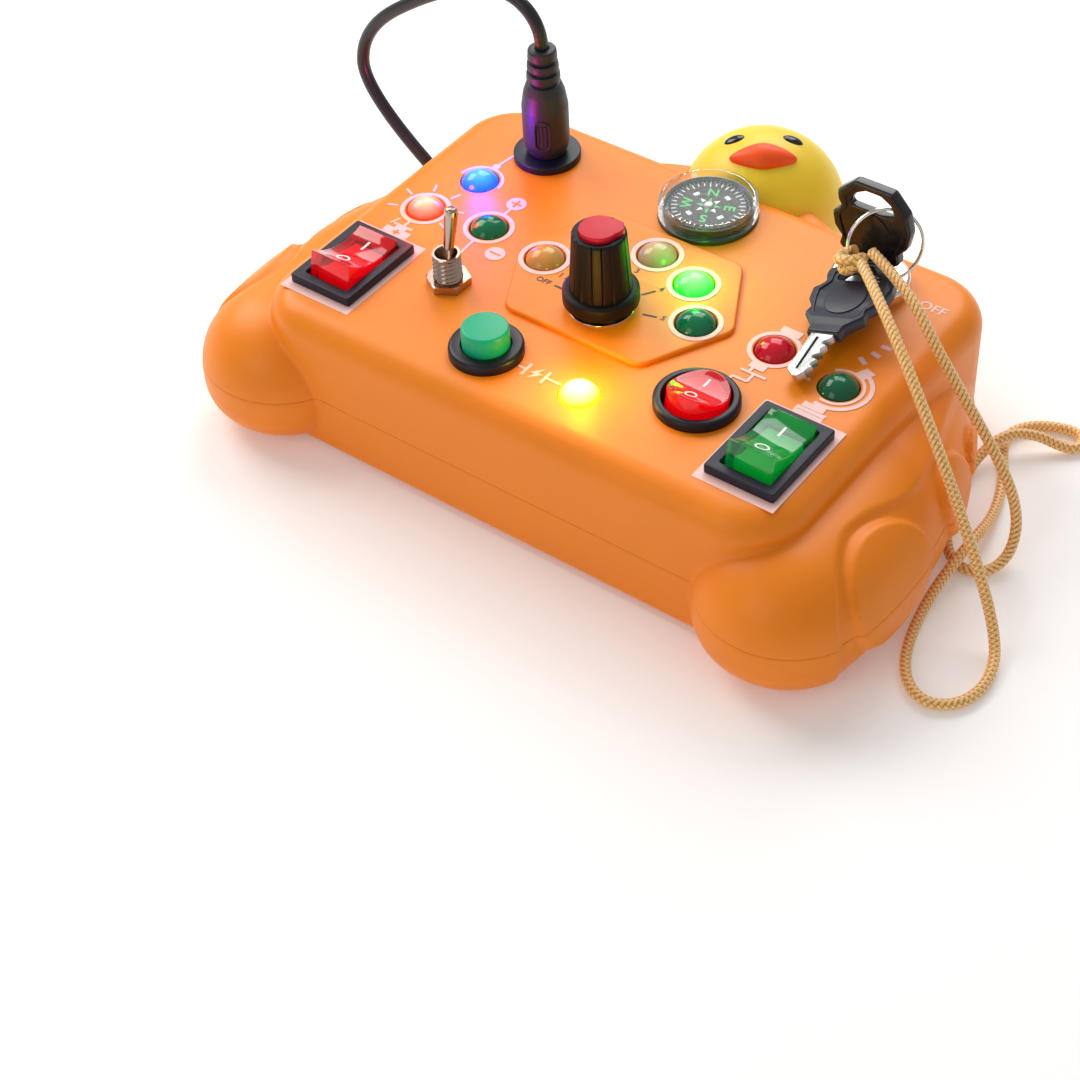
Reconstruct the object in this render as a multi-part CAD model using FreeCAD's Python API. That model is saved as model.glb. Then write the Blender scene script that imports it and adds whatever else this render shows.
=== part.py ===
"""Busy board: a hand-held toy control panel with switches, lamps, a key lock and a duck's head.

The board lies on a table with its deck facing up.  X runs to the right, Y to the back and Z up,
all in millimetres.  The shapes are made in deck coordinates, with the origin on the table below
the deck's centre, and save() moves them so that the origin is the middle of the part's footprint.
"""
import FreeCAD, Part
import math
import os
from FreeCAD import Matrix, Placement, Rotation, Vector

# Housing
DECK_WIDTH = 124.0
DECK_DEPTH = 85.0
DECK_TOP = 33.0
DECK_CORNER = 13.0
DECK_EDGE = 5.5
BASE_Z = 1.0
BASE_EDGE = 2.0
SEAM_Z = 14.0
WALL = 2.2

# Side grips: an arc along the side and a round horn at the front
GRIP_TOP = 27.0
GRIP_TOP_EDGE = 12.0
GRIP_BASE_EDGE = 8.5
GRIP_REACH = 79.5
HORN_RADIUS = 16.3
HORN_Y = -38.0
GRIP_BACK_X = 56.0
GRIP_BACK_Y = 38.5

# Sunken side of each grip, with raised ovals: middle y, half width and half height of each
RECESS_DEPTH = 0.9
RECESS_BASE = 3.5
RECESS_LINE = ((77.0, -41.7), (73.2, -37.7), (69.6, -32.3), (67.2, -26.0), (68.4, -19.5), (71.0, -12.0),
               (71.2, -5.5), (69.0, 4.0), (65.6, 15.0), (63.2, 23.0), (65.5, 29.0))
OVALS = ((-24.4, 12.4, 11.0), (3.9, 7.4, 8.0), (18.5, 4.6, 5.2))
OVAL_RISE = 0.3
OVAL_TILT = 32.0
OVAL_LEVEL = -26.5
OVAL_START = 58.0
OVAL_BAR = 40.0

# Hump behind the deck and the duck's head that it carries
HUMP_RADIUS = 45.0
HUMP_REACH = 7.8
HUMP_TOP = 29.5
HUMP_EDGE = 3.0
HEAD_RADIUS = 17.6
HEAD_Y = 50.9
HEAD_Z = 21.0
HEAD_TURN = 32.0
EYE_SPREAD = 6.1
EYE_BACK = 1.9
EYE_UP = 16.35
EYE_WIDTH = 4.6
EYE_HEIGHT = 3.2
EYE_RISE = 0.5
EYE_SINK = 3.0
BEAK_WIDTH = 14.0
BEAK_DEPTH = 7.4
BEAK_FORWARD = 4.6
BEAK_SINK = 1.1

# From the deck's centre to the middle of the footprint between the horns and the head
BOARD_SHIFT_Y = -(HEAD_Y + HEAD_RADIUS + HORN_Y - HORN_RADIUS) / 2

# Raised hexagon round the dial
HEX_RISE = 1.0
HEX_HALF_WIDTH = 25.5
HEX_MIDDLE_Y = 1.4
HEX_BACK_Y = 19.2
HEX_FRONT_Y = -17.0
HEX_END_HALF = 16.0
HEX_CORNER = 3.5
PLATEAU = DECK_TOP + HEX_RISE

# Clearances
PRESS_GAP = 0.1
SLIDE_GAP = 0.15
RUN_GAP = 0.06
SEAT_GAP = 0.3

# Rectangular rocker switches
ROCKER_X = 49.2
ROCKER_Y = -23.1
BEZEL_WIDTH = 15.0
BEZEL_LENGTH = 21.0
BEZEL_HEIGHT = 2.0
BEZEL_EDGE = 0.5
ROCKER_BODY_WIDTH = 12.9
ROCKER_BODY_LENGTH = 18.8
ROCKER_BODY_DEPTH = 13.0
ROCKER_WALL = 1.1
CAP_WIDTH = 10.0
CAP_LENGTH = 15.0
CAP_END_HEIGHT = 5.0
CAP_DIP = 2.1
CAP_SKIRT = 3.5
CAP_SIDE_GAP = 0.35
CAP_END_GAP = 0.75
ROCKER_TILT = 12.5
TRUNNION_RADIUS = 1.0
TRUNNION_REACH = 6.15

# Round rocker switch
ROUND_X = 30.5
ROUND_Y = -18.8
ROUND_BEZEL_RADIUS = 8.3
ROUND_BODY_RADIUS = 7.3
ROUND_BODY_DEPTH = 13.0
ROUND_CAP_RADIUS = 6.0
ROUND_CAP_GAP = 0.7
ROUND_END_HEIGHT = 4.4
ROUND_DIP = 1.6
ROUND_SKIRT = 2.6
ROUND_TRUNNION = 0.8
ROUND_TRUNNION_REACH = 7.05

# Switch terminals
TERMINAL_WIDTH = 3.0
TERMINAL_THICKNESS = 0.8
TERMINAL_LENGTH = 5.0
TERMINAL_PITCH = 5.5
TOGGLE_TERMINAL_PITCH = 4.7
TOGGLE_TERMINAL_WIDTH = 2.0

# Toggle switch
TOGGLE_X = -30.1
TOGGLE_Y = -16.5
BUSH_RADIUS = 2.95
BUSH_HEIGHT = 7.5
BUSH_MOUTH = 2.3
BUSH_THROAT = 1.5
BUSH_FLARE = 1.2
THREAD_PITCH = 0.8
THREAD_DEPTH = 0.25
THREAD_WIDTH = 0.35
THREAD_TURNS = 6
TOGGLE_BODY_X = 8.0
TOGGLE_BODY_Y = 13.0
TOGGLE_BODY_DEPTH = 10.0
NUT_ACROSS = 8.0
NUT_HEIGHT = 1.8
NUT_CROWN = 0.45
LEVER_PIVOT_Z = 4.0
LEVER_LENGTH = 13.0
LEVER_ROOT = 1.05
LEVER_TIP = 1.4
LEVER_TILT = 12.5
LEVER_BALL = 1.4

# Push button
BUTTON_X = -11.1
BUTTON_Y = -28.8
BUTTON_RING = 7.4
BUTTON_RING_HEIGHT = 2.2
BUTTON_RING_EDGE = 1.2
BUTTON_BODY = 5.8
BUTTON_DEPTH = 18.0
BUTTON_CAP = 4.7
BUTTON_CAP_TOP = 6.2
BUTTON_CAP_EDGE = 1.0
BUTTON_STEM = 2.2
BUTTON_STEM_LENGTH = 8.0
BUTTON_SEAT = 3.0
BUTTON_FLOOR = 2.0
BUTTON_NUT_ACROSS = 14.0
SPRING_TURNS = 5
SPRING_WIRE = 0.5
SPRING_RADIUS = 3.2

# Rotary switch and its knob
DIAL_Y = -6.6
SHAFT_RADIUS = 3.0
SHAFT_LOW = 24.0
SHAFT_TOP = 16.0
ROTARY_BUSH = 3.5
ROTARY_BUSH_TOP = 2.8
ROTARY_NUT_ACROSS = 10.0
ROTARY_NUT_HEIGHT = 1.4
ROTARY_BODY = 8.2
ROTARY_DEPTH = 9.0
KNOB_SKIRT = 7.55
KNOB_SKIRT_HEIGHT = 2.8
KNOB_EDGE = 0.6
KNOB_STEP = 0.4
KNOB_LIFT = 1.9
KNOB_ROOT = 6.2
KNOB_NECK = 5.3
KNOB_TOP = 19.0
KNOB_FLUTES = 18
KNOB_FLUTE_RADIUS = 0.45
KNOB_CAP = 3.9
KNOB_CAP_RISE = 1.1
KNOB_CAP_DEPTH = 1.2
KNOB_CAP_EDGE = 0.4
KNOB_CAP_GAP = 0.05
KNOB_NOSE = 1.6
KNOB_NOSE_REACH = 1.0
KNOB_NOSE_TIP = 0.45
KNOB_POINTER_ANGLE = 40.0

# Lamps: lenses with a low dome, in holes through the deck
LAMP_RADIUS = 4.0
LAMP_DOME = 2.0
LAMP_COLLAR = 4.8
LAMP_COLLAR_HEIGHT = 1.2
LAMP_DEPTH = 7.0
ARC_RADIUS = 19.0
ARC_START = 18.0
ARC_STEP = 36.0
ARC_LAMPS = ("lamp_dial_dark_green", "lamp_dial_green", "lamp_dial_clear", "lamp_dial_red", "lamp_dial_amber")
DECK_LAMPS = (("lamp_left_red", -49.1, -0.2), ("lamp_left_blue", -45.6, 13.4), ("lamp_toggle_green", -34.3, 1.9),
              ("lamp_yellow", 10.8, -28.8), ("lamp_right_red", 34.3, 1.9), ("lamp_right_green", 49.9, -0.5))

# Compass
COMPASS_X = 0.4
COMPASS_Y = 29.9
COMPASS_RADIUS = 10.2
COMPASS_HEIGHT = 4.4
COMPASS_WALL = 1.1
COMPASS_EDGE = 0.5
COMPASS_FLOOR = 1.0
COMPASS_SINK = 1.2
CARD_RADIUS = 7.9
CARD_THICKNESS = 0.6
CARD_Z = 1.7
PIVOT_RADIUS = 0.5
PIVOT_TOP = 2.9
LENS_THICKNESS = 0.9

# Power jack and plug
JACK_X = -39.1
JACK_Y = 28.3
JACK_FLANGE = 7.1
JACK_FLANGE_HEIGHT = 1.6
JACK_FLANGE_EDGE = 0.5
JACK_BODY = 5.6
JACK_DEPTH = 12.0
JACK_PIN = 0.95
JACK_PIN_SINK = 1.5
JACK_NUT_ACROSS = 15.0
BARREL_RADIUS = 2.75
BARREL_LENGTH = 9.5
BARREL_BORE = 1.05
PLUG_RADIUS = 4.9
PLUG_FOOT = 1.0
PLUG_GRIP_LENGTH = 15.5
PLUG_SHOULDER = 3.0
PLUG_NECK_RADIUS = 2.9
PLUG_NECK_LENGTH = 7.4
PLUG_COLLAR = 2.0
PLUG_RIBS = 3
PLUG_RIB_DEPTH = 0.7
PLUG_RIB_TAPER = 0.15

# Cable gland in the left-hand grip's side
GLAND_Y = 24.0
GLAND_Z = 18.6
GLAND_SINK = 1.1
GLAND_RISE = 36.0
GLAND_RADIUS = 2.6
GLAND_COLLAR = 3.6
GLAND_COLLAR_TAPER = 0.8
GLAND_COLLAR_HEIGHT = 2.2
GLAND_DEPTH = 4.0

# Key lock
LOCK_X = 39.1
LOCK_Y = 28.3
LOCK_BEZEL = 8.0
LOCK_BEZEL_HEIGHT = 3.0
LOCK_BEZEL_EDGE = 1.2
LOCK_BODY = 6.3
LOCK_DEPTH = 15.0
LOCK_FLOOR = 1.4
PLUG_FACE = 5.2
LOCK_NUT_ACROSS = 16.0
PANEL_NUT_HEIGHT = 2.2

# Keys: a plastic bow on a flat blade, measured from the bow's centre
BOW_RADIUS = 8.6
BOW_FLAT = 8.0
BOW_THICKNESS = 2.6
BOW_NOTCH = 1.8
BOW_NOTCH_X = -9.0
BOW_NOTCH_Z = 1.5
BOW_HOLE_RADIUS = 5.6
BOW_HOLE_BASE = 2.2
BOW_HOLE_CENTRE = 1.0
NECK = ((5.8, -6.0), (4.6, -8.6), (3.5, -10.4))
NECK_END = 12.4
BLADE_TIP = 23.6
BLADE_HALF = 2.5
BLADE_THICKNESS = 1.6
BLADE_TANG = 6.0
BLADE_POINT = (-0.6, 0.4)
BLADE_GROOVE = 0.35
GROOVE_X = -0.9
GROOVE_WIDTH = 0.7
CUT_START = 1.2
CUT_PITCH = 1.9
CUT_FLAT = 0.7
CUT_RISE = 1.6
KEY_CUTS = (0.8, 1.5, 1.0, 1.7, 0.9)
SPARE_CUTS = (1.0, 0.9, 1.6, 0.8, 1.4)
KEY_HEIGHT = 16.0

# Key ring and spare key, in deck coordinates with heights above the deck
RING_RADIUS = 7.2
RING_WIRE = 0.6
RING_CENTRE = (42.83, 26.67, 12.57)
RING_CHORD = (0.4662, 0.0, -0.8847)
RING_SWING = 42.57
SPARE_TIP = (43.24, -5.07, 2.34)
SPARE_HOLE_ANGLE = 53.7
SPARE_ROLL = -18.34
KNOT_ANGLE = 90.0

# Batteries: the bay and its contacts are sized first and the cells fill what they leave
BAY_LENGTH = 58.0
BAY_Y = 21.6
BAY_ROOF = 1.5
BAY_WALL = 1.5
CELL_RADIUS = 7.2
CELL_PITCH = 15.2
CELL_Z = 10.4
CELL_HEADROOM = 0.4
CELL_NUB_RADIUS = 2.7
CELL_NUB = 1.2
CONTACT_STRIP = 0.5
CONTACT_WIDTH = 9.0
CONTACT_HALF_HEIGHT = 5.0
NUB_REACH = 1.1
NUB_GAP = 0.2
LEAF_REACH = 5.8
LEAF_HALF_HEIGHT = 4.0
LEAF_WIDTH = 5.0
BAY_DEPTH = 2 * CELL_PITCH
BAY_TOP = CELL_Z + CELL_RADIUS + CELL_HEADROOM
CELL_START = BAY_LENGTH / 2 - LEAF_REACH
CELL_LENGTH = CELL_START + BAY_LENGTH / 2 - CONTACT_STRIP - NUB_REACH - NUB_GAP - CELL_NUB
CELLS = ((BAY_Y - CELL_PITCH / 2, 1), (BAY_Y + CELL_PITCH / 2, -1))

# Battery door and its screw
DOOR_THICKNESS = 2.0
DOOR_PLATE = 1.2
DOOR_LIP = 1.6
DOOR_TAB_WIDTH = 10.0
DOOR_TAB_REACH = 6.8
DOOR_SCREW_REACH = 3.8
DOOR_SCREW_SINK = 1.0
DOOR_SCREW_Y = BAY_Y + BAY_DEPTH / 2 + DOOR_LIP + DOOR_SCREW_REACH
DOOR_POST_TOP = 12.0
DOOR_RIB_LENGTH = 16.0
DOOR_RIBS = (-12.0, -10.0, -8.0)

# Screws, posts and feet
SCREW_RADIUS = 1.3
SCREW_HEAD = 2.6
SCREW_HEAD_HEIGHT = 1.6
SCREW_SEAT = 4.0
SCREW_TIP = 22.0
SCREW_SLOT = 3.6
SCREW_SLOT_WIDTH = 0.7
POST_RADIUS = 3.5
POSTS = ((-50.5, -36.8), (50.5, -36.8), (-54.5, 35.0), (54.5, 35.0))
FOOT_RADIUS = 5.0
FOOT_EDGE = 0.4
FEET = ((-62.0, -38.0), (62.0, -38.0), (-43.0, 33.0), (43.0, 33.0))

# Circuit board: x, y from its middle, width, depth and height of each chip, and its two cans
BOARD_HALF_X = 34.0
BOARD_FRONT = -38.0
BOARD_BACK = -3.0
BOARD_Z = 6.0
BOARD_THICKNESS = 1.6
BOARD_POST = 2.5
BOARD_POSTS = ((-31.0, -35.0), (31.0, -35.0), (-31.0, -6.0), (31.0, -6.0))
CHIPS = ((-14.0, 0.0, 12.0, 9.0, 1.6), (12.0, 4.0, 8.0, 8.0, 1.6), (12.0, -9.0, 6.0, 4.0, 2.2))
CAN_X = 26.0
CAN_Y = 6.0
CAN_RADIUS = 3.0
CAN_HEIGHT = 4.5

# Cords: corner points of the routes, with heights above the table.  The lanyard's are in deck
# coordinates; the cable's are set off in x from its gland
LANYARD_RADIUS = 1.1
LANYARD_ROUTE = ((41.3, 20.6, 44.6), (50.5, 14.6, 44.9), (64.5, 2.6, 37.0), (86.5, -12.0, 18.0),
                 (97.0, -16.5, 1.4), (97.0, -29.8, 1.4), (92.0, -34.0, 1.4), (85.0, -33.6, 1.4), (80.4, -28.5, 1.4),
                 (80.0, -16.0, 1.4), (79.5, 4.0, 1.4), (76.5, 20.0, 1.4), (69.5, 33.0, 1.4),
                 (66.0, 44.5, 1.4), (70.5, 50.0, 1.4), (77.5, 51.0, 1.4), (83.0, 46.5, 1.4),
                 (85.5, 34.0, 1.4), (84.5, 17.0, 1.4), (79.5, 12.0, 18.0), (64.5, 14.5, 37.2),
                 (52.0, 21.8, 45.2), (41.9, 23.2, 45.8))
CABLE_RADIUS = 1.4
CABLE_MIDDLE = ((16.2, 28.2, 71.0), (-1.4, 27.9, 64.0), (-21.4, 26.0, 49.5))
CABLE_RISE = 6.0
CABLE_ENTRY = 26.0
CABLE_END = 0.5
CORD_SETBACK = 0.45
KNOT_SPACING = 0.95

# How far the middle of a 45 degree arc stays from the corner it rounds, per unit of radius
SLANT = 1 - math.sqrt(0.5)


def cylinder(x, y, radius, low, high):
    return Part.makeCylinder(radius, high - low, Vector(x, y, low))


def tube(x, y, outer, inner, low, high):
    return cylinder(x, y, outer, low, high).cut(cylinder(x, y, inner, low - 1, high + 1))


def box(x, y, size_x, size_y, low, high):
    """A box centred on x, y."""
    return Part.makeBox(size_x, size_y, high - low, Vector(x - size_x / 2, y - size_y / 2, low))


def upright_edges(shape):
    found = []
    for edge in shape.Edges:
        ends = [vertex.Point for vertex in edge.Vertexes]
        if len(ends) == 2 and (ends[0] - ends[1]).cross(Vector(0, 0, 1)).Length < 1e-6:
            found.append(edge)
    return found


def edges_at(shape, height):
    """The edges that lie wholly in the plane at this height."""
    return [edge for edge in shape.Edges
            if abs(edge.BoundBox.ZMin - height) < 1e-4 and abs(edge.BoundBox.ZMax - height) < 1e-4]


def rounded_box(x, y, size_x, size_y, low, high, corner):
    solid = box(x, y, size_x, size_y, low, high)
    return solid.makeFillet(corner, upright_edges(solid))


def prism(points, low, high):
    corners = [Vector(px, py, low) for px, py in points]
    return Part.Face(Part.makePolygon(corners + corners[:1])).extrude(Vector(0, 0, high - low))


def hexagon_nut(x, y, across, hole, low, high):
    reach = across / math.sqrt(3)
    corners = [(x + reach * math.cos(math.radians(60 * i + 30)),
                y + reach * math.sin(math.radians(60 * i + 30))) for i in range(6)]
    return prism(corners, low, high).cut(cylinder(x, y, hole, low - 1, high + 1))


def lathe(profile, x=0.0, y=0.0):
    """Turn a profile of (radius, height) points about a vertical axis.  A point with a third
    value is reached by an arc through that middle point."""
    edges = []
    start = Vector(profile[0][0], 0, profile[0][1])
    here = start
    for point in profile[1:] + profile[:1]:
        there = Vector(point[0], 0, point[1])
        if (there - here).Length > 1e-9:
            if len(point) == 3:
                edges.append(Part.Arc(here, Vector(point[2][0], 0, point[2][1]), there).toShape())
            else:
                edges.append(Part.LineSegment(here, there).toShape())
        here = there
    face = Part.Face(Part.Wire(edges))
    solid = face.revolve(Vector(0, 0, 0), Vector(0, 0, 1), 360)
    solid.translate(Vector(x, y, 0))
    return solid


def mirrored(shape):
    return shape.mirror(Vector(0, 0, 0), Vector(1, 0, 0))


def deck_block(inset):
    low = BASE_Z + inset
    high = DECK_TOP - inset
    solid = rounded_box(0, 0, DECK_WIDTH - 2 * inset, DECK_DEPTH - 2 * inset, low, high,
                        DECK_CORNER - inset)
    solid = solid.makeFillet(DECK_EDGE - inset, edges_at(solid, high))
    if BASE_EDGE > inset:
        solid = solid.makeFillet(BASE_EDGE - inset, edges_at(solid, low))
    return solid


def grip_axis():
    """Radius and centre x of the side arc, which meets the horn's straight run smoothly."""
    fall = GRIP_REACH - GRIP_BACK_X
    run = GRIP_BACK_Y - grip_shoulder_y()
    radius = (fall ** 2 + run ** 2) / (2 * fall)
    return radius, GRIP_REACH - radius


def grip_shoulder_y():
    return HORN_Y + HORN_RADIUS * 0.55


def grip_side_x(y):
    radius, centre = grip_axis()
    return centre + math.sqrt(radius ** 2 - (y - grip_shoulder_y()) ** 2)


def grip_profile(inner, y, inset):
    low = BASE_Z + inset
    high = GRIP_TOP - inset
    out = GRIP_REACH - inset
    top_round = GRIP_TOP_EDGE - inset
    base_round = GRIP_BASE_EDGE - inset
    base_start = Vector(out - base_round, y, low)
    base_middle = Vector(out - base_round * SLANT, y, low + base_round * SLANT)
    base_end = Vector(out, y, low + base_round)
    top_start = Vector(out, y, high - top_round)
    top_middle = Vector(out - top_round * SLANT, y, high - top_round * SLANT)
    top_end = Vector(out - top_round, y, high)
    inner_high = Vector(inner, y, high)
    inner_low = Vector(inner, y, low)
    return Part.Face(Part.Wire([Part.LineSegment(inner_low, base_start).toShape(),
                                Part.Arc(base_start, base_middle, base_end).toShape(),
                                Part.LineSegment(base_end, top_start).toShape(),
                                Part.Arc(top_start, top_middle, top_end).toShape(),
                                Part.LineSegment(top_end, inner_high).toShape(),
                                Part.LineSegment(inner_high, inner_low).toShape()]))


def grip(inset):
    """The right-hand grip: one rounded profile turned about the horn, drawn along the straight
    run and turned about the side arc."""
    horn_x = GRIP_REACH - HORN_RADIUS
    shoulder = grip_shoulder_y()
    radius, centre = grip_axis()
    sweep = math.degrees(math.asin((GRIP_BACK_Y - shoulder) / radius))
    upward = Vector(0, 0, 1)
    inner = horn_x - HORN_RADIUS + GRIP_TOP_EDGE / 4
    horn = grip_profile(horn_x, HORN_Y, inset).revolve(Vector(horn_x, HORN_Y, 0), upward, -180)
    straight = grip_profile(inner, HORN_Y, inset).extrude(Vector(0, shoulder - HORN_Y, 0))
    side = grip_profile(inner, shoulder, inset).revolve(Vector(centre, shoulder, 0), upward, sweep)
    return horn.fuse([straight, side]).removeSplitter()


def hump(inset):
    """A round ledge behind the deck, a slice of a wide disc whose front lies inside the deck."""
    low = BASE_Z + inset
    high = HUMP_TOP - inset
    radius = HUMP_RADIUS - inset
    top = HUMP_EDGE
    base = BASE_EDGE
    return lathe([(0, low), (radius - base, low),
                  (radius, low + base, (radius - base * SLANT, low + base * SLANT)),
                  (radius, high - top), (radius - top, high, (radius - top * SLANT, high - top * SLANT)),
                  (0, high)],
                 0, DECK_DEPTH / 2 + HUMP_REACH - HUMP_RADIUS)


def oval_bar(y, half_width, half_height):
    """An elliptical bar that runs outwards and up through the side of the right-hand grip."""
    tilt = math.radians(OVAL_TILT)
    outward = Vector(math.cos(tilt), 0, math.sin(tilt))
    rise = Vector(-math.sin(tilt), 0, math.cos(tilt))
    centre = Vector(0, y, 0) + outward * OVAL_START + rise * OVAL_LEVEL
    across = Vector(0, half_width, 0)
    up = rise * half_height
    if half_width >= half_height:
        ring = Part.Ellipse(centre + across, centre + up, centre)
    else:
        ring = Part.Ellipse(centre + up, centre + across, centre)
    bar = Part.Face(Part.Wire([ring.toShape()])).extrude(outward * OVAL_BAR)
    return bar.common(box(GRIP_REACH, 0, GRIP_REACH, 2 * GRIP_REACH, BASE_Z + BASE_EDGE, DECK_TOP))


def sunken_side():
    """The sunken side of the grip, bounded by a wavy line in plan."""
    line = Part.BSplineCurve()
    line.interpolate([Vector(x, y, RECESS_BASE) for x, y in RECESS_LINE])
    first = Vector(RECESS_LINE[0][0], RECESS_LINE[0][1], RECESS_BASE)
    last = Vector(RECESS_LINE[-1][0], RECESS_LINE[-1][1], RECESS_BASE)
    far = GRIP_REACH * 1.2
    corner_back = Vector(far, last.y, RECESS_BASE)
    corner_front = Vector(far, first.y - 4, RECESS_BASE)
    outline = Part.Wire([line.toShape(), Part.LineSegment(last, corner_back).toShape(),
                         Part.LineSegment(corner_back, corner_front).toShape(),
                         Part.LineSegment(corner_front, first).toShape()])
    return Part.Face(outline).extrude(Vector(0, 0, DECK_TOP)).cut(grip(RECESS_DEPTH))


def detailed_grip():
    shape = grip(0).cut(sunken_side())
    skin = grip(-OVAL_RISE)
    return shape.fuse([skin.common(oval_bar(*oval)) for oval in OVALS])


def outer_housing():
    right = detailed_grip()
    return deck_block(0).fuse([right, mirrored(right), hump(0)]).removeSplitter()


def inner_housing():
    right = grip(WALL)
    return deck_block(WALL).fuse([right, mirrored(right), hump(WALL)]).removeSplitter()


def hexagon():
    """The raised hexagon in the middle of the deck."""
    corners = [(HEX_END_HALF, HEX_BACK_Y), (HEX_HALF_WIDTH, HEX_MIDDLE_Y), (HEX_END_HALF, HEX_FRONT_Y),
               (-HEX_END_HALF, HEX_FRONT_Y), (-HEX_HALF_WIDTH, HEX_MIDDLE_Y), (-HEX_END_HALF, HEX_BACK_Y)]
    solid = prism(corners, DECK_TOP - WALL / 2, PLATEAU)
    solid = solid.makeFillet(HEX_CORNER, upright_edges(solid))
    return solid.makeFillet(HEX_RISE * 0.6, edges_at(solid, PLATEAU))


def lamp_places():
    """Name, x, y and seat height of each lamp."""
    dial = [(ARC_RADIUS * math.cos(math.radians(ARC_START + ARC_STEP * i)),
             DIAL_Y + ARC_RADIUS * math.sin(math.radians(ARC_START + ARC_STEP * i))) for i in range(len(ARC_LAMPS))]
    places = [(name, x, y, PLATEAU) for name, (x, y) in zip(ARC_LAMPS, dial)]
    return places + [(name, x, y, DECK_TOP) for name, x, y in DECK_LAMPS]


def deck_openings():
    """Everything that is bored through the deck."""
    depth = DECK_TOP - WALL - 1
    high = PLATEAU + 1
    cuts = [cylinder(x, y, LAMP_RADIUS + PRESS_GAP, depth, high) for name, x, y, seat in lamp_places()]
    for side in (-1, 1):
        cuts.append(box(side * ROCKER_X, ROCKER_Y, ROCKER_BODY_WIDTH + 2 * PRESS_GAP,
                        ROCKER_BODY_LENGTH + 2 * PRESS_GAP, depth, high))
    cuts.append(cylinder(ROUND_X, ROUND_Y, ROUND_BODY_RADIUS + PRESS_GAP, depth, high))
    cuts.append(cylinder(TOGGLE_X, TOGGLE_Y, BUSH_RADIUS + PRESS_GAP, depth, high))
    cuts.append(cylinder(BUTTON_X, BUTTON_Y, BUTTON_BODY + PRESS_GAP, depth, high))
    cuts.append(cylinder(0, DIAL_Y, ROTARY_BUSH + PRESS_GAP, depth, high))
    cuts.append(cylinder(JACK_X, JACK_Y, JACK_BODY + PRESS_GAP, depth, high))
    cuts.append(cylinder(LOCK_X, LOCK_Y, LOCK_BODY + PRESS_GAP, depth, high))
    cuts.append(cylinder(COMPASS_X, COMPASS_Y, COMPASS_RADIUS + PRESS_GAP, DECK_TOP - COMPASS_SINK, high))
    return cuts


def gland_axis():
    rise = math.radians(GLAND_RISE)
    return Vector(-math.cos(rise), 0, math.sin(rise))


def gland_seat():
    """Where the cable leaves the left-hand grip, a little under the grip's side."""
    return Vector(GLAND_SINK - grip_side_x(GLAND_Y), GLAND_Y, GLAND_Z)


def gland_hole(radius):
    axis = gland_axis()
    return Part.makeCylinder(radius, 2 * GLAND_DEPTH + 4, gland_seat() - axis * (GLAND_DEPTH + 2), axis)


def shells():
    outer = outer_housing()
    inner = inner_housing()
    reach = 4 * GRIP_REACH
    above = box(0, 0, reach, reach, SEAM_Z, 2 * DECK_TOP)
    below = box(0, 0, reach, reach, -DECK_TOP, SEAM_Z)
    roof = DECK_TOP - WALL / 2
    top = outer.cut(inner).common(above)
    top_posts = [tube(x, y, POST_RADIUS, SCREW_RADIUS, SEAM_Z, roof) for x, y in POSTS]
    top = top.fuse([hexagon()] + top_posts)
    top = top.cut(Part.makeCompound(deck_openings()))
    top = top.cut(gland_hole(GLAND_RADIUS + PRESS_GAP))
    base = BASE_Z + WALL / 2
    bottom = outer.cut(inner).common(below)
    extra = [cylinder(x, y, POST_RADIUS, base, SEAM_Z) for x, y in POSTS]
    extra += [cylinder(x, y, BOARD_POST, base, BOARD_Z) for x, y in BOARD_POSTS]
    bay_x = BAY_LENGTH + 2 * BAY_WALL
    bay_y = BAY_DEPTH + 2 * BAY_WALL
    extra.append(box(0, BAY_Y, bay_x, bay_y, base, BAY_TOP + BAY_ROOF))
    extra.append(cylinder(0, DOOR_SCREW_Y, POST_RADIUS, base, DOOR_POST_TOP))
    bottom = bottom.fuse(extra)
    cuts = [box(0, BAY_Y, BAY_LENGTH, BAY_DEPTH, 0, BAY_TOP)]
    cuts.append(door_plate(SLIDE_GAP, BASE_Z - 1, BASE_Z + DOOR_PLATE))
    cuts.append(cylinder(0, DOOR_SCREW_Y, SCREW_RADIUS, BASE_Z, DOOR_POST_TOP - 1))
    for x, y in POSTS:
        cuts.append(cylinder(x, y, SCREW_RADIUS + PRESS_GAP, 0, SEAM_Z + 1))
        cuts.append(cylinder(x, y, SCREW_HEAD + PRESS_GAP, 0, SCREW_SEAT))
    bottom = bottom.cut(Part.makeCompound(cuts))
    return top, bottom


def door_plate(room, low, high):
    """The door's outer plate with a tab for its screw."""
    plate = box(0, BAY_Y, BAY_LENGTH + 2 * DOOR_LIP + 2 * room, BAY_DEPTH + 2 * DOOR_LIP + 2 * room, low, high)
    back = BAY_Y + BAY_DEPTH / 2 + DOOR_LIP
    tab = box(0, back + DOOR_TAB_REACH / 2, DOOR_TAB_WIDTH + 2 * room, DOOR_TAB_REACH + 2 * room, low, high)
    return plate.fuse(tab).removeSplitter()


def battery_door():
    """The plate, its locating rim and finger ribs, bored for the screw."""
    step = BASE_Z + DOOR_PLATE
    rim = box(0, BAY_Y, BAY_LENGTH - 2 * SLIDE_GAP, BAY_DEPTH - 2 * SLIDE_GAP, step, BASE_Z + DOOR_THICKNESS)
    door = door_plate(0, BASE_Z, step).fuse(rim).removeSplitter()
    grooves = [box(0, BAY_Y + offset, DOOR_RIB_LENGTH, 0.8, 0, BASE_Z + 0.4) for offset in DOOR_RIBS]
    door = door.cut(Part.makeCompound(grooves))
    door = door.cut(cylinder(0, DOOR_SCREW_Y, SCREW_RADIUS + RUN_GAP, 0, DECK_TOP))
    return door.cut(cylinder(0, DOOR_SCREW_Y, SCREW_HEAD + RUN_GAP, 0, BASE_Z + DOOR_SCREW_SINK))


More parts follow.
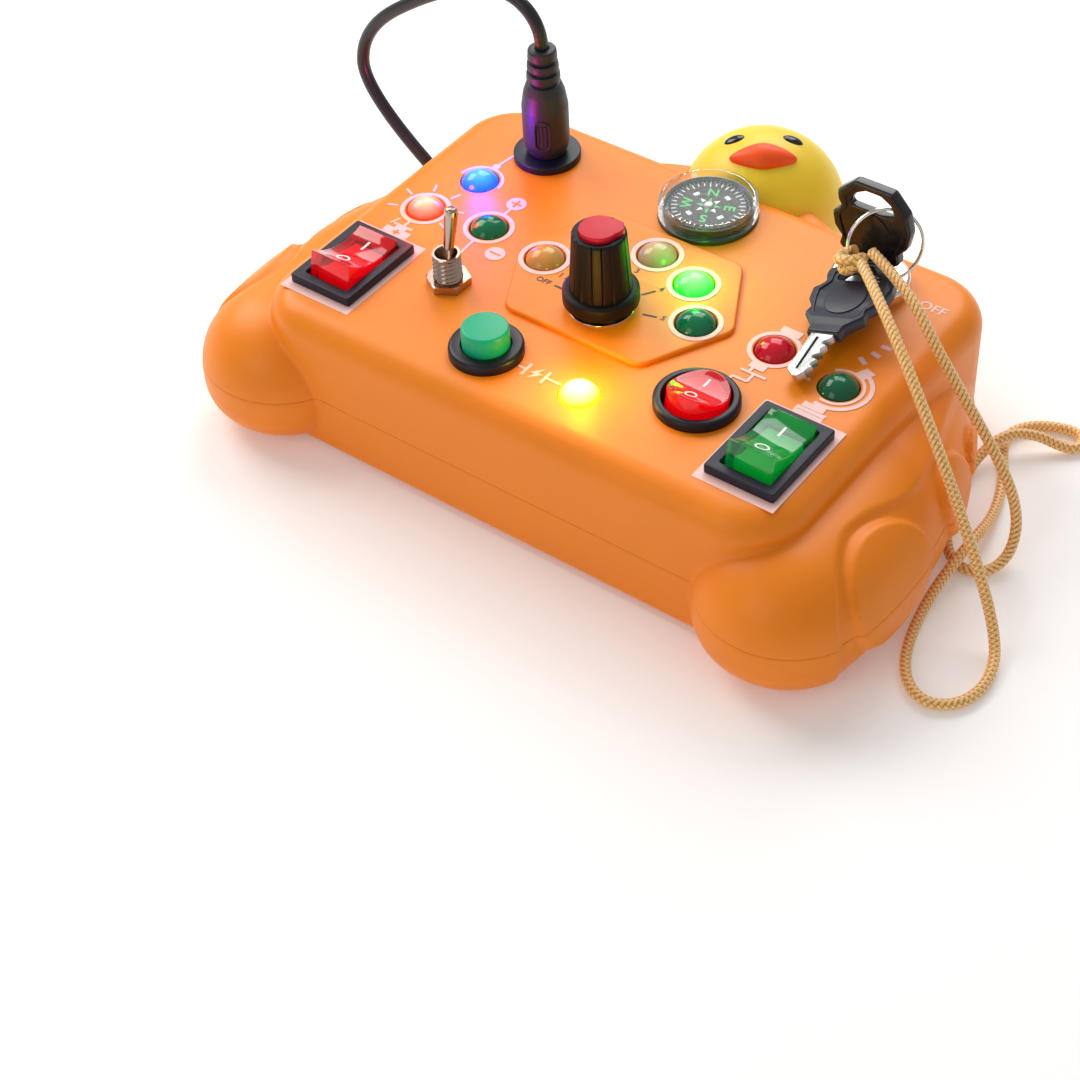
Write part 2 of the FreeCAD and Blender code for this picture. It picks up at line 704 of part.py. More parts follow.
def screw(x, y, head_low, head_high, tip):
    """A pan screw with a cross slot, its head below."""
    shape = cylinder(x, y, SCREW_HEAD, head_low, head_high).fuse(
        lathe([(0, head_high), (SCREW_RADIUS, head_high), (SCREW_RADIUS, tip - 1), (0, tip)], x, y))
    slot = box(x, y, SCREW_SLOT, SCREW_SLOT_WIDTH, head_low - 1, head_low + 0.8)
    cross = box(x, y, SCREW_SLOT_WIDTH, SCREW_SLOT, head_low - 1, head_low + 0.8)
    return shape.cut(slot).cut(cross)


def housing_screws():
    return Part.makeCompound([screw(x, y, SCREW_SEAT - SCREW_HEAD_HEIGHT, SCREW_SEAT, SCREW_TIP)
                              for x, y in POSTS])


def rubber_feet():
    foot = lathe([(0, 0), (FOOT_RADIUS - FOOT_EDGE, 0), (FOOT_RADIUS, FOOT_EDGE), (FOOT_RADIUS, BASE_Z), (0, BASE_Z)])
    feet = []
    for x, y in FEET:
        copy = foot.copy()
        copy.translate(Vector(x, y, 0))
        feet.append(copy)
    return Part.makeCompound(feet)


def battery_cell(y, side):
    """An AA cell along X with its raised end towards side * X."""
    start = -CELL_START * side
    half = CELL_RADIUS - 0.5
    can = [(0, 0), (half, 0), (CELL_RADIUS, 0.5), (CELL_RADIUS, CELL_LENGTH - 0.6),
           (CELL_RADIUS - 0.8, CELL_LENGTH), (CELL_NUB_RADIUS, CELL_LENGTH),
           (CELL_NUB_RADIUS, CELL_LENGTH + CELL_NUB), (0, CELL_LENGTH + CELL_NUB)]
    cell = lathe(can)
    cell.rotate(Vector(0, 0, 0), Vector(0, 1, 0), 90 * side)
    cell.translate(Vector(start, y, CELL_Z))
    return cell


def contact(y, side, sprung):
    """A bent strip at one end of a cell: a plate with a dimple, or a plate with a leaf."""
    wall = side * (BAY_LENGTH / 2)
    inward = -side
    near = wall + inward * CONTACT_STRIP
    plate = box((wall + near) / 2, y, CONTACT_STRIP, CONTACT_WIDTH, CELL_Z - CONTACT_HALF_HEIGHT,
                CELL_Z + CONTACT_HALF_HEIGHT)
    if not sprung:
        dimple = Part.makeCone(CELL_NUB_RADIUS - 0.1, CELL_NUB_RADIUS - 0.7, NUB_REACH, Vector(near, y, CELL_Z),
                               Vector(inward, 0, 0))
        return plate.fuse(dimple)
    far = wall + inward * LEAF_REACH
    rise = LEAF_HALF_HEIGHT
    inner = LEAF_HALF_HEIGHT - 0.7
    points = [(near, CELL_Z - rise), (far, CELL_Z), (near, CELL_Z + rise), (near, CELL_Z + inner),
              (far - inward * 0.55, CELL_Z), (near, CELL_Z - inner)]
    corners = [Vector(px, y - LEAF_WIDTH / 2, pz) for px, pz in points]
    leaf = Part.Face(Part.makePolygon(corners + corners[:1])).extrude(Vector(0, LEAF_WIDTH, 0))
    return plate.fuse(leaf)


def battery_contacts():
    strips = []
    for y, side in CELLS:
        strips.append(contact(y, side, False))
        strips.append(contact(y, -side, True))
    return Part.makeCompound(strips)


def circuit_board():
    mid = (BOARD_FRONT + BOARD_BACK) / 2
    top = BOARD_Z + BOARD_THICKNESS
    board = box(0, mid, 2 * BOARD_HALF_X, BOARD_BACK - BOARD_FRONT, BOARD_Z, top)
    chips = [box(x, mid + y, width, depth, top, top + height) for x, y, width, depth, height in CHIPS]
    cans = [cylinder(side * CAN_X, mid + CAN_Y, CAN_RADIUS, top, top + CAN_HEIGHT) for side in (-1, 1)]
    return board.fuse(chips + cans)


def head_axes():
    """The duck's forward and right directions in plan."""
    turn = math.radians(HEAD_TURN)
    return Vector(math.sin(turn), -math.cos(turn), 0), Vector(math.cos(turn), math.sin(turn), 0)


def head_centre():
    return Vector(0, HEAD_Y, HEAD_Z)


def duck_head():
    ball = Part.makeSphere(HEAD_RADIUS, head_centre())
    ball = ball.cut(cylinder(COMPASS_X, COMPASS_Y, COMPASS_RADIUS + SEAT_GAP, BASE_Z, 2 * DECK_TOP))
    return ball.cut(outer_housing()).cut(duck_beak())


def duck_eyes():
    forward, right = head_axes()
    centre = head_centre()
    skin = Part.makeSphere(HEAD_RADIUS + EYE_RISE, centre).cut(Part.makeSphere(HEAD_RADIUS, centre))
    eyes = []
    for side in (-1, 1):
        direction = right * (side * EYE_SPREAD) - forward * EYE_BACK + Vector(0, 0, EYE_UP)
        direction.normalize()
        across = right - direction * right.dot(direction)
        across.normalize()
        along = direction.cross(across)
        seat = centre + direction * (HEAD_RADIUS - EYE_SINK)
        ring = Part.Ellipse(seat + across * (EYE_WIDTH / 2), seat + along * (EYE_HEIGHT / 2), seat)
        bar = Part.Face(Part.Wire([ring.toShape()])).extrude(direction * (2 * EYE_SINK))
        eyes.append(skin.common(bar))
    return Part.makeCompound(eyes)


def duck_beak():
    """A rounded bill: a half ellipse turned about its long axis, sunk into the head."""
    forward, right = head_axes()
    half = BEAK_WIDTH / 2
    thick = BEAK_DEPTH / 2
    arc = Part.Ellipse(Vector(half, 0, 0), Vector(0, thick, 0), Vector(0, 0, 0))
    upper = Part.ArcOfEllipse(arc, 0, math.pi).toShape()
    flat = Part.LineSegment(Vector(-half, 0, 0), Vector(half, 0, 0)).toShape()
    solid = Part.Face(Part.Wire([upper, flat])).revolve(Vector(0, 0, 0), Vector(1, 0, 0), 360)
    solid.rotate(Vector(0, 0, 0), Vector(0, 0, 1), HEAD_TURN)
    direction = forward * BEAK_FORWARD + Vector(0, 0, math.sqrt(HEAD_RADIUS ** 2 - BEAK_FORWARD ** 2))
    direction.normalize()
    solid.translate(head_centre() + direction * (HEAD_RADIUS - BEAK_SINK))
    return solid


def compass_case():
    low = DECK_TOP - COMPASS_SINK
    high = DECK_TOP + COMPASS_HEIGHT
    well = COMPASS_RADIUS - COMPASS_WALL
    ledge = well - COMPASS_EDGE
    pivot = DECK_TOP + PIVOT_TOP
    return lathe([(0, low), (COMPASS_RADIUS, low), (COMPASS_RADIUS, high - COMPASS_EDGE),
                  (COMPASS_RADIUS - COMPASS_EDGE, high), (well, high), (well, high - LENS_THICKNESS),
                  (ledge, high - LENS_THICKNESS), (ledge, low + COMPASS_FLOOR),
                  (PIVOT_RADIUS, low + COMPASS_FLOOR), (PIVOT_RADIUS, pivot), (0, pivot)],
                 COMPASS_X, COMPASS_Y)


def compass_card():
    low = DECK_TOP + CARD_Z
    return tube(COMPASS_X, COMPASS_Y, CARD_RADIUS, PIVOT_RADIUS + RUN_GAP, low, low + CARD_THICKNESS)


def compass_lens():
    high = DECK_TOP + COMPASS_HEIGHT
    return cylinder(COMPASS_X, COMPASS_Y, COMPASS_RADIUS - COMPASS_WALL, high - LENS_THICKNESS, high)


def rocker_frame(x, y):
    low = DECK_TOP - ROCKER_BODY_DEPTH
    top = DECK_TOP + BEZEL_HEIGHT
    bezel = box(x, y, BEZEL_WIDTH, BEZEL_LENGTH, DECK_TOP, top)
    bezel = bezel.makeChamfer(BEZEL_EDGE, edges_at(bezel, top))
    frame = bezel.fuse(box(x, y, ROCKER_BODY_WIDTH, ROCKER_BODY_LENGTH, low, DECK_TOP))
    frame = frame.cut(box(x, y, CAP_WIDTH + 2 * CAP_SIDE_GAP, CAP_LENGTH + 2 * CAP_END_GAP,
                          low + ROCKER_WALL, top + 1))
    pin = Part.makeCylinder(TRUNNION_RADIUS + RUN_GAP, 2 * TRUNNION_REACH + 0.2,
                            Vector(x - TRUNNION_REACH - 0.1, y, DECK_TOP), Vector(1, 0, 0))
    return frame.cut(pin)


def rocker_profile(half_length, end_height, dip, skirt):
    """Side view of a cap, dished on top, about its pivot."""
    return [Part.Arc(Vector(0, -half_length, end_height), Vector(0, 0, end_height - dip),
                     Vector(0, half_length, end_height)).toShape(),
            Part.LineSegment(Vector(0, half_length, end_height), Vector(0, half_length, -skirt / 3)).toShape(),
            Part.LineSegment(Vector(0, half_length, -skirt / 3),
                             Vector(0, half_length * 0.6, -skirt)).toShape(),
            Part.LineSegment(Vector(0, half_length * 0.6, -skirt),
                             Vector(0, -half_length * 0.6, -skirt)).toShape(),
            Part.LineSegment(Vector(0, -half_length * 0.6, -skirt),
                             Vector(0, -half_length, -skirt / 3)).toShape(),
            Part.LineSegment(Vector(0, -half_length, -skirt / 3),
                             Vector(0, -half_length, end_height)).toShape()]


def tilted_cap(shape, x, y):
    """Tip a cap so that its front end stands high, and set it on its pivot."""
    shape.rotate(Vector(0, 0, 0), Vector(1, 0, 0), -ROCKER_TILT)
    shape.translate(Vector(x, y, DECK_TOP))
    return shape


def rocker_cap(x, y):
    profile = rocker_profile(CAP_LENGTH / 2, CAP_END_HEIGHT, CAP_DIP, CAP_SKIRT)
    cap = Part.Face(Part.Wire(profile)).extrude(Vector(CAP_WIDTH, 0, 0))
    cap.translate(Vector(-CAP_WIDTH / 2, 0, 0))
    pin = Part.makeCylinder(TRUNNION_RADIUS, 2 * TRUNNION_REACH, Vector(-TRUNNION_REACH, 0, 0),
                            Vector(1, 0, 0))
    return tilted_cap(cap.fuse(pin), x, y)


def round_frame():
    low = DECK_TOP - ROUND_BODY_DEPTH
    top = DECK_TOP + BEZEL_HEIGHT
    well = ROUND_CAP_RADIUS + ROUND_CAP_GAP
    frame = lathe([(0, low), (ROUND_BODY_RADIUS, low), (ROUND_BODY_RADIUS, DECK_TOP),
                   (ROUND_BEZEL_RADIUS, DECK_TOP), (ROUND_BEZEL_RADIUS, top - BEZEL_EDGE),
                   (ROUND_BEZEL_RADIUS - BEZEL_EDGE, top), (well, top), (well, low + ROCKER_WALL),
                   (0, low + ROCKER_WALL)], ROUND_X, ROUND_Y)
    pin = Part.makeCylinder(ROUND_TRUNNION + RUN_GAP, 2 * ROUND_TRUNNION_REACH + 0.1,
                            Vector(ROUND_X - ROUND_TRUNNION_REACH - 0.05, ROUND_Y, DECK_TOP), Vector(1, 0, 0))
    return frame.cut(pin)


def round_cap():
    half = ROUND_CAP_RADIUS
    profile = rocker_profile(half, ROUND_END_HEIGHT, ROUND_DIP, ROUND_SKIRT)
    slab = Part.Face(Part.Wire(profile)).extrude(Vector(2 * half, 0, 0))
    slab.translate(Vector(-half, 0, 0))
    cap = slab.common(cylinder(0, 0, half, -CAP_SKIRT - 1, CAP_END_HEIGHT + 1))
    pin = Part.makeCylinder(ROUND_TRUNNION, 2 * ROUND_TRUNNION_REACH, Vector(-ROUND_TRUNNION_REACH, 0, 0),
                            Vector(1, 0, 0))
    return tilted_cap(cap.fuse(pin), ROUND_X, ROUND_Y)


def switch_terminals():
    """Flat blades under the three rocker switches and the toggle switch."""
    low = DECK_TOP - ROCKER_BODY_DEPTH
    blades = []
    for x, y in ((-ROCKER_X, ROCKER_Y), (ROCKER_X, ROCKER_Y), (ROUND_X, ROUND_Y)):
        for side in (-1, 1):
            blades.append(box(x, y + side * TERMINAL_PITCH / 2, TERMINAL_WIDTH, TERMINAL_THICKNESS,
                              low - TERMINAL_LENGTH, low))
    low = DECK_TOP - WALL - TOGGLE_BODY_DEPTH
    for step in (-1, 0, 1):
        blades.append(box(TOGGLE_X, TOGGLE_Y + step * TOGGLE_TERMINAL_PITCH, TERMINAL_THICKNESS,
                          TOGGLE_TERMINAL_WIDTH, low - TERMINAL_LENGTH, low))
    return Part.makeCompound(blades)


def toggle_body():
    low = DECK_TOP - WALL - TOGGLE_BODY_DEPTH
    roof = DECK_TOP - WALL
    top = DECK_TOP + BUSH_HEIGHT
    pivot = DECK_TOP + LEVER_PIVOT_Z
    case = box(TOGGLE_X, TOGGLE_Y, TOGGLE_BODY_X, TOGGLE_BODY_Y, low, roof)
    bush = cylinder(TOGGLE_X, TOGGLE_Y, BUSH_RADIUS, roof, top)
    bore = lathe([(0, DECK_TOP), (BUSH_THROAT, DECK_TOP), (BUSH_THROAT, pivot + BUSH_FLARE), (BUSH_MOUTH, top),
                  (BUSH_MOUTH, top + 1), (0, top + 1)], TOGGLE_X, TOGGLE_Y)
    body = case.fuse(bush).cut(bore)
    first = DECK_TOP + NUT_HEIGHT + 0.6
    threads = [tube(TOGGLE_X, TOGGLE_Y, BUSH_RADIUS + 1, BUSH_RADIUS - THREAD_DEPTH, z, z + THREAD_WIDTH)
               for z in [first + THREAD_PITCH * i for i in range(THREAD_TURNS)]]
    return body.cut(Part.makeCompound(threads))


def toggle_lever():
    ball = Part.makeSphere(LEVER_BALL)
    reach = LEVER_LENGTH - LEVER_TIP
    stick = lathe([(0, 0), (LEVER_ROOT, 0), (LEVER_ROOT, 2.0), (LEVER_TIP, reach),
                   (0, LEVER_LENGTH, (LEVER_TIP * math.sqrt(0.5), reach + LEVER_TIP * math.sqrt(0.5)))])
    lever = ball.fuse(stick)
    lever.rotate(Vector(0, 0, 0), Vector(1, 0, 0), -LEVER_TILT)
    lever.translate(Vector(TOGGLE_X, TOGGLE_Y, DECK_TOP + LEVER_PIVOT_Z))
    return lever


def button_body():
    top = DECK_TOP + BUTTON_RING_HEIGHT
    low = DECK_TOP - BUTTON_DEPTH
    bore = BUTTON_CAP + SLIDE_GAP
    edge = BUTTON_RING_EDGE
    return lathe([(0, low), (BUTTON_BODY, low), (BUTTON_BODY, DECK_TOP), (BUTTON_RING, DECK_TOP),
                  (BUTTON_RING, top - edge),
                  (BUTTON_RING - edge, top, (BUTTON_RING - edge * SLANT, top - edge * SLANT)),
                  (bore, top), (bore, low + BUTTON_FLOOR), (0, low + BUTTON_FLOOR)], BUTTON_X, BUTTON_Y)


def button_cap():
    top = DECK_TOP + BUTTON_CAP_TOP
    low = DECK_TOP - BUTTON_SEAT
    edge = BUTTON_CAP_EDGE
    return lathe([(0, low - BUTTON_STEM_LENGTH), (BUTTON_STEM, low - BUTTON_STEM_LENGTH), (BUTTON_STEM, low),
                  (BUTTON_CAP, low), (BUTTON_CAP, top - edge),
                  (BUTTON_CAP - edge, top, (BUTTON_CAP - edge * SLANT, top - edge * SLANT)), (0, top)],
                 BUTTON_X, BUTTON_Y)


def button_spring():
    low = DECK_TOP - BUTTON_DEPTH + BUTTON_FLOOR + SPRING_WIRE
    high = DECK_TOP - BUTTON_SEAT - SPRING_WIRE
    helix = Part.makeHelix((high - low) / SPRING_TURNS, high - low, SPRING_RADIUS)
    ring = Part.Wire([Part.Circle(Vector(SPRING_RADIUS, 0, 0), Vector(0, 1, 0), SPRING_WIRE).toShape()])
    spring = Part.Wire(helix.Edges).makePipeShell([ring], True, True)
    spring.translate(Vector(BUTTON_X, BUTTON_Y, low))
    return spring


def rotary_body():
    roof = DECK_TOP - WALL
    low = roof - ROTARY_DEPTH
    bush = DECK_TOP + ROTARY_BUSH_TOP
    bore = SHAFT_RADIUS + RUN_GAP
    return lathe([(0, low), (ROTARY_BODY, low), (ROTARY_BODY, roof), (ROTARY_BUSH, roof), (ROTARY_BUSH, bush),
                  (bore, bush), (bore, SHAFT_LOW - 0.1), (0, SHAFT_LOW - 0.1)], 0, DIAL_Y)


def rotary_shaft():
    return cylinder(0, DIAL_Y, SHAFT_RADIUS, SHAFT_LOW, DECK_TOP + SHAFT_TOP)


def knob():
    low = PLATEAU + KNOB_LIFT
    skirt = low + KNOB_SKIRT_HEIGHT
    top = DECK_TOP + KNOB_TOP
    shape = lathe([(0, low), (KNOB_SKIRT, low), (KNOB_SKIRT, skirt - KNOB_EDGE), (KNOB_SKIRT - KNOB_EDGE, skirt),
                   (KNOB_ROOT, skirt + KNOB_STEP), (KNOB_NECK, top - KNOB_EDGE), (KNOB_NECK - KNOB_EDGE, top),
                   (0, top)])
    lean = math.degrees(math.atan((KNOB_ROOT - KNOB_NECK) / (top - skirt - 1)))
    flute = Part.makeCylinder(KNOB_FLUTE_RADIUS, top - skirt + 2, Vector(0, 0, 0))
    flute.rotate(Vector(0, 0, 0), Vector(0, 1, 0), -lean)
    flute.translate(Vector(KNOB_ROOT + KNOB_FLUTE_RADIUS * 0.3, 0, skirt + 2 * KNOB_STEP))
    flutes = []
    for i in range(KNOB_FLUTES):
        copy = flute.copy()
        copy.rotate(Vector(0, 0, 0), Vector(0, 0, 1), 360.0 * i / KNOB_FLUTES)
        flutes.append(copy)
    shape = shape.cut(Part.makeCompound(flutes))
    shape = shape.cut(cylinder(0, 0, KNOB_CAP + KNOB_CAP_GAP, top - KNOB_CAP_DEPTH, top + 1))
    shape.rotate(Vector(0, 0, 0), Vector(0, 0, 1), KNOB_POINTER_ANGLE)
    shape.translate(Vector(0, DIAL_Y, 0))
    return shape.cut(cylinder(0, DIAL_Y, SHAFT_RADIUS, 0, DECK_TOP + SHAFT_TOP))


def knob_cap():
    top = DECK_TOP + KNOB_TOP
    crest = top + KNOB_CAP_RISE
    cap = lathe([(0, top - KNOB_CAP_DEPTH), (KNOB_CAP, top - KNOB_CAP_DEPTH), (KNOB_CAP, crest - KNOB_CAP_EDGE),
                 (KNOB_CAP - KNOB_CAP_EDGE, crest), (0, crest)])
    reach = KNOB_CAP + KNOB_NOSE_REACH
    nose = prism([(0, -KNOB_NOSE), (reach, -KNOB_NOSE_TIP), (reach, KNOB_NOSE_TIP), (0, KNOB_NOSE)], top, crest)
    cap = cap.fuse(nose).removeSplitter()
    cap.rotate(Vector(0, 0, 0), Vector(0, 0, 1), KNOB_POINTER_ANGLE)
    cap.translate(Vector(0, DIAL_Y, 0))
    return cap


def lamp(x, y, seat):
    """A lens with a low dome, a stem through the deck and a collar under it."""
    under = DECK_TOP - WALL
    dome_radius = (LAMP_RADIUS ** 2 + LAMP_DOME ** 2) / (2 * LAMP_DOME)
    middle = math.asin(LAMP_RADIUS / dome_radius) / 2
    level = seat + LAMP_DOME - dome_radius
    return lathe([(0, seat - LAMP_DEPTH), (LAMP_RADIUS, seat - LAMP_DEPTH), (LAMP_RADIUS, under - LAMP_COLLAR_HEIGHT),
                  (LAMP_COLLAR, under - LAMP_COLLAR_HEIGHT), (LAMP_COLLAR, under), (LAMP_RADIUS, under),
                  (LAMP_RADIUS, seat),
                  (0, seat + LAMP_DOME, (dome_radius * math.sin(middle), level + dome_radius * math.cos(middle)))],
                 x, y)


def jack_socket():
    low = DECK_TOP - JACK_DEPTH
    top = DECK_TOP + JACK_FLANGE_HEIGHT
    bore = BARREL_RADIUS + RUN_GAP
    floor = top - BARREL_LENGTH - 0.5
    pin = top - JACK_PIN_SINK
    return lathe([(0, low), (JACK_BODY, low), (JACK_BODY, DECK_TOP), (JACK_FLANGE, DECK_TOP),
                  (JACK_FLANGE, top - JACK_FLANGE_EDGE), (JACK_FLANGE - JACK_FLANGE_EDGE, top), (bore, top),
                  (bore, floor), (JACK_PIN, floor), (JACK_PIN, pin), (0, pin)], JACK_X, JACK_Y)


def plug_barrel():
    top = DECK_TOP + JACK_FLANGE_HEIGHT
    return tube(JACK_X, JACK_Y, BARREL_RADIUS, BARREL_BORE, top - BARREL_LENGTH, top)


def dc_plug():
    low = DECK_TOP + JACK_FLANGE_HEIGHT
    high = low + PLUG_GRIP_LENGTH
    root = PLUG_NECK_RADIUS
    level = high + PLUG_COLLAR
    profile = [(0, low), (PLUG_RADIUS - PLUG_FOOT, low),
               (PLUG_RADIUS, low + PLUG_SHOULDER, (PLUG_RADIUS - 0.25, low + 1.2)), (PLUG_RADIUS, high - PLUG_SHOULDER),
               (root, high + PLUG_COLLAR / 2, (PLUG_RADIUS - 0.55, high - 0.4)), (root, level)]
    step = PLUG_NECK_LENGTH / (2 * PLUG_RIBS)
    groove = root - PLUG_RIB_DEPTH
    for i in range(PLUG_RIBS):
        rib = root - PLUG_RIB_TAPER * i
        profile += [(groove, level), (groove, level + step), (rib, level + step), (rib, level + 2 * step)]
        level += 2 * step
    profile.append((0, level))
    return lathe(profile, JACK_X, JACK_Y)


def panel_nuts():
    """Nuts under the deck for the lock, the button and the jack, and over it for the dial."""
    roof = DECK_TOP - WALL
    return Part.makeCompound([
        hexagon_nut(LOCK_X, LOCK_Y, LOCK_NUT_ACROSS, LOCK_BODY, roof - PANEL_NUT_HEIGHT, roof),
        hexagon_nut(BUTTON_X, BUTTON_Y, BUTTON_NUT_ACROSS, BUTTON_BODY, roof - PANEL_NUT_HEIGHT, roof),
        hexagon_nut(JACK_X, JACK_Y, JACK_NUT_ACROSS, JACK_BODY, roof - PANEL_NUT_HEIGHT, roof),
        hexagon_nut(0, DIAL_Y, ROTARY_NUT_ACROSS, ROTARY_BUSH, PLATEAU, PLATEAU + ROTARY_NUT_HEIGHT)])


def toggle_nut():
    nut = hexagon_nut(TOGGLE_X, TOGGLE_Y, NUT_ACROSS, BUSH_RADIUS, DECK_TOP, DECK_TOP + NUT_HEIGHT)
    crown = lathe([(0, DECK_TOP - 1), (NUT_ACROSS / math.sqrt(3), DECK_TOP - 1),
                   (NUT_ACROSS / math.sqrt(3), DECK_TOP + NUT_HEIGHT - NUT_CROWN),
                   (NUT_ACROSS / 2 - 0.1, DECK_TOP + NUT_HEIGHT), (0, DECK_TOP + NUT_HEIGHT)],
                  TOGGLE_X, TOGGLE_Y)
    return nut.common(crown)


def lock_barrel():
    low = DECK_TOP - LOCK_DEPTH
    top = DECK_TOP + LOCK_BEZEL_HEIGHT
    bore = PLUG_FACE + RUN_GAP
    edge = LOCK_BEZEL_EDGE
    return lathe([(0, low), (LOCK_BODY, low), (LOCK_BODY, DECK_TOP), (LOCK_BEZEL, DECK_TOP),
                  (LOCK_BEZEL, top - edge),
                  (LOCK_BEZEL - edge, top, (LOCK_BEZEL - edge * SLANT, top - edge * SLANT)),
                  (bore, top), (bore, low + LOCK_FLOOR), (0, low + LOCK_FLOOR)], LOCK_X, LOCK_Y)


def lock_plug():
    low = DECK_TOP - LOCK_DEPTH + LOCK_FLOOR + 0.1
    top = DECK_TOP + LOCK_BEZEL_HEIGHT
    plug = cylinder(LOCK_X, LOCK_Y, PLUG_FACE, low, top)
    slot = box(LOCK_X, LOCK_Y, 2 * BLADE_HALF + 2 * RUN_GAP, BLADE_THICKNESS + 2 * RUN_GAP,
               DECK_TOP + KEY_HEIGHT - BLADE_TIP - 0.3, top + 1)
    return plug.cut(slot)


def key_bow_shape():
    """A bow in the XZ plane with its middle at the origin and its neck below."""
    half = BOW_THICKNESS / 2
    disc = Part.makeCylinder(BOW_RADIUS, BOW_THICKNESS, Vector(0, half, 0), Vector(0, -1, 0))
    side = NECK + ((NECK[-1][0], -NECK_END),)
    corners = [Vector(-px, half, pz) for px, pz in side] + [Vector(px, half, pz) for px, pz in side[::-1]]
    neck = Part.Face(Part.makePolygon(corners + corners[:1])).extrude(Vector(0, -BOW_THICKNESS, 0))
    bow = disc.fuse(neck).removeSplitter()
    reach = 2 * BOW_RADIUS
    bow = bow.cut(box(0, 0, reach, reach, BOW_FLAT, reach))
    hole = Part.makeCylinder(BOW_HOLE_RADIUS, 2 * BOW_THICKNESS, Vector(0, BOW_THICKNESS, BOW_HOLE_CENTRE),
                             Vector(0, -1, 0))
    hole = hole.common(box(0, 0, reach, reach, BOW_HOLE_BASE, reach))
    notch = Part.makeCylinder(BOW_NOTCH, 2 * BOW_THICKNESS,
                              Vector(BOW_NOTCH_X, BOW_THICKNESS, BOW_NOTCH_Z), Vector(0, -1, 0))
    bow = bow.cut(hole).cut(notch)
    tang = box(0, 0, 2 * BLADE_HALF, BLADE_THICKNESS, -NECK_END - 1, -NECK_END + BLADE_TANG)
    return bow.cut(tang)


def key_blade_shape(cuts):
    """A flat blade with a groove and cuts on one edge, joined to its bow by a tang."""
    half = BLADE_THICKNESS / 2
    level = -BLADE_TIP + CUT_START
    outline = [(-BLADE_HALF, -NECK_END + BLADE_TANG), (-BLADE_HALF, -BLADE_TIP + CUT_RISE),
               (BLADE_POINT[0], -BLADE_TIP), (BLADE_POINT[1], -BLADE_TIP)]
    for depth in cuts:
        outline += [(BLADE_HALF - depth, level), (BLADE_HALF - depth, level + CUT_FLAT),
                    (BLADE_HALF - 0.2, level + CUT_RISE)]
        level += CUT_PITCH
    outline += [(BLADE_HALF, -NECK_END - 0.4), (BLADE_HALF, -NECK_END + BLADE_TANG)]
    corners = [Vector(px, half, pz) for px, pz in outline]
    blade = Part.Face(Part.makePolygon(corners + corners[:1])).extrude(Vector(0, -BLADE_THICKNESS, 0))
    groove = box(GROOVE_X, -half, GROOVE_WIDTH, 2 * BLADE_GROOVE, -BLADE_TIP + CUT_START, -NECK_END - 0.8)
    return blade.cut(groove)


def key_place():
    return Placement(Vector(LOCK_X, LOCK_Y, DECK_TOP + KEY_HEIGHT), Rotation())


def ring_point(angle):
    """The middle of the ring's wire, at an angle from its chord."""
    chord, other, normal = ring_axes()
    turn = math.radians(angle)
    return ring_centre() + (chord * math.cos(turn) + other * math.sin(turn)) * RING_RADIUS


def spare_hole():
    return ring_point(SPARE_HOLE_ANGLE)


def spare_axes():
    """Directions of the spare key: across, out of its far face, and from its tip to its hole."""
    along = spare_hole() - Vector(*SPARE_TIP) - Vector(0, 0, DECK_TOP)
    along.normalize()
    face = Vector(0, 0, 1) - along * along.z
    face.normalize()
    side = along.cross(face)
    lean = math.radians(SPARE_ROLL)
    face = face * math.cos(lean) + side * math.sin(lean)
    return along.cross(face), face * -1, along


def spare_place():
    across, far_face, along = spare_axes()
    middle = Vector(*SPARE_TIP) + along * BLADE_TIP + Vector(0, 0, DECK_TOP)
    return Placement(Matrix(across.x, far_face.x, along.x, middle.x, across.y, far_face.y, along.y, middle.y,
                            across.z, far_face.z, along.z, middle.z, 0, 0, 0, 1))


def placed(shape, place):
    shape.Placement = place.multiply(shape.Placement)
    return shape


def ring_centre():
    return Vector(RING_CENTRE[0], RING_CENTRE[1], RING_CENTRE[2] + DECK_TOP)


def ring_axes():
    chord = Vector(*RING_CHORD)
    chord.normalize()
    swing = math.radians(RING_SWING)
    other = Vector(0, 1, 0).cross(chord) * math.cos(swing) - Vector(0, 1, 0) * math.sin(swing)
    return chord, other, chord.cross(other)


def key_ring():
    return Part.makeTorus(RING_RADIUS, RING_WIRE, ring_centre(), ring_axes()[2])


def cord(points, radius, name):
    """A round cord along straight runs joined by tangent arcs."""
    corners = [Vector(*point) for point in points]
    edges = []
    radii = []
    here = corners[0]
    length = 0.0
    for before, corner, after in zip(corners, corners[1:], corners[2:]):
        into = corner - before
        out = after - corner
        half_turn = into.getAngle(out) / 2
        setback = CORD_SETBACK * min(into.Length, out.Length)
        into.normalize()
        out.normalize()
        bend = setback / math.tan(half_turn)
        radii.append(bend)
        start = corner - into * setback
        finish = corner + out * setback
        inward = out - into
        inward.normalize()
        middle = corner + inward * (bend / math.cos(half_turn) - bend)
        edges.append(Part.LineSegment(here, start).toShape())
        edges.append(Part.Arc(start, middle, finish).toShape())
        here = finish
    edges.append(Part.LineSegment(here, corners[-1]).toShape())
    path = Part.Wire(edges)
    first = corners[1] - corners[0]
    section = Part.Wire([Part.Circle(corners[0], first, radius).toShape()])
    solid = path.makePipeShell([section], True, False)
    expected = math.pi * radius ** 2 * path.Length
    print(name, "smallest radius", round(min(radii), 2), "length", round(path.Length, 1),
          "volume", round(solid.Volume, 1), "of", round(expected, 1))
    return solid


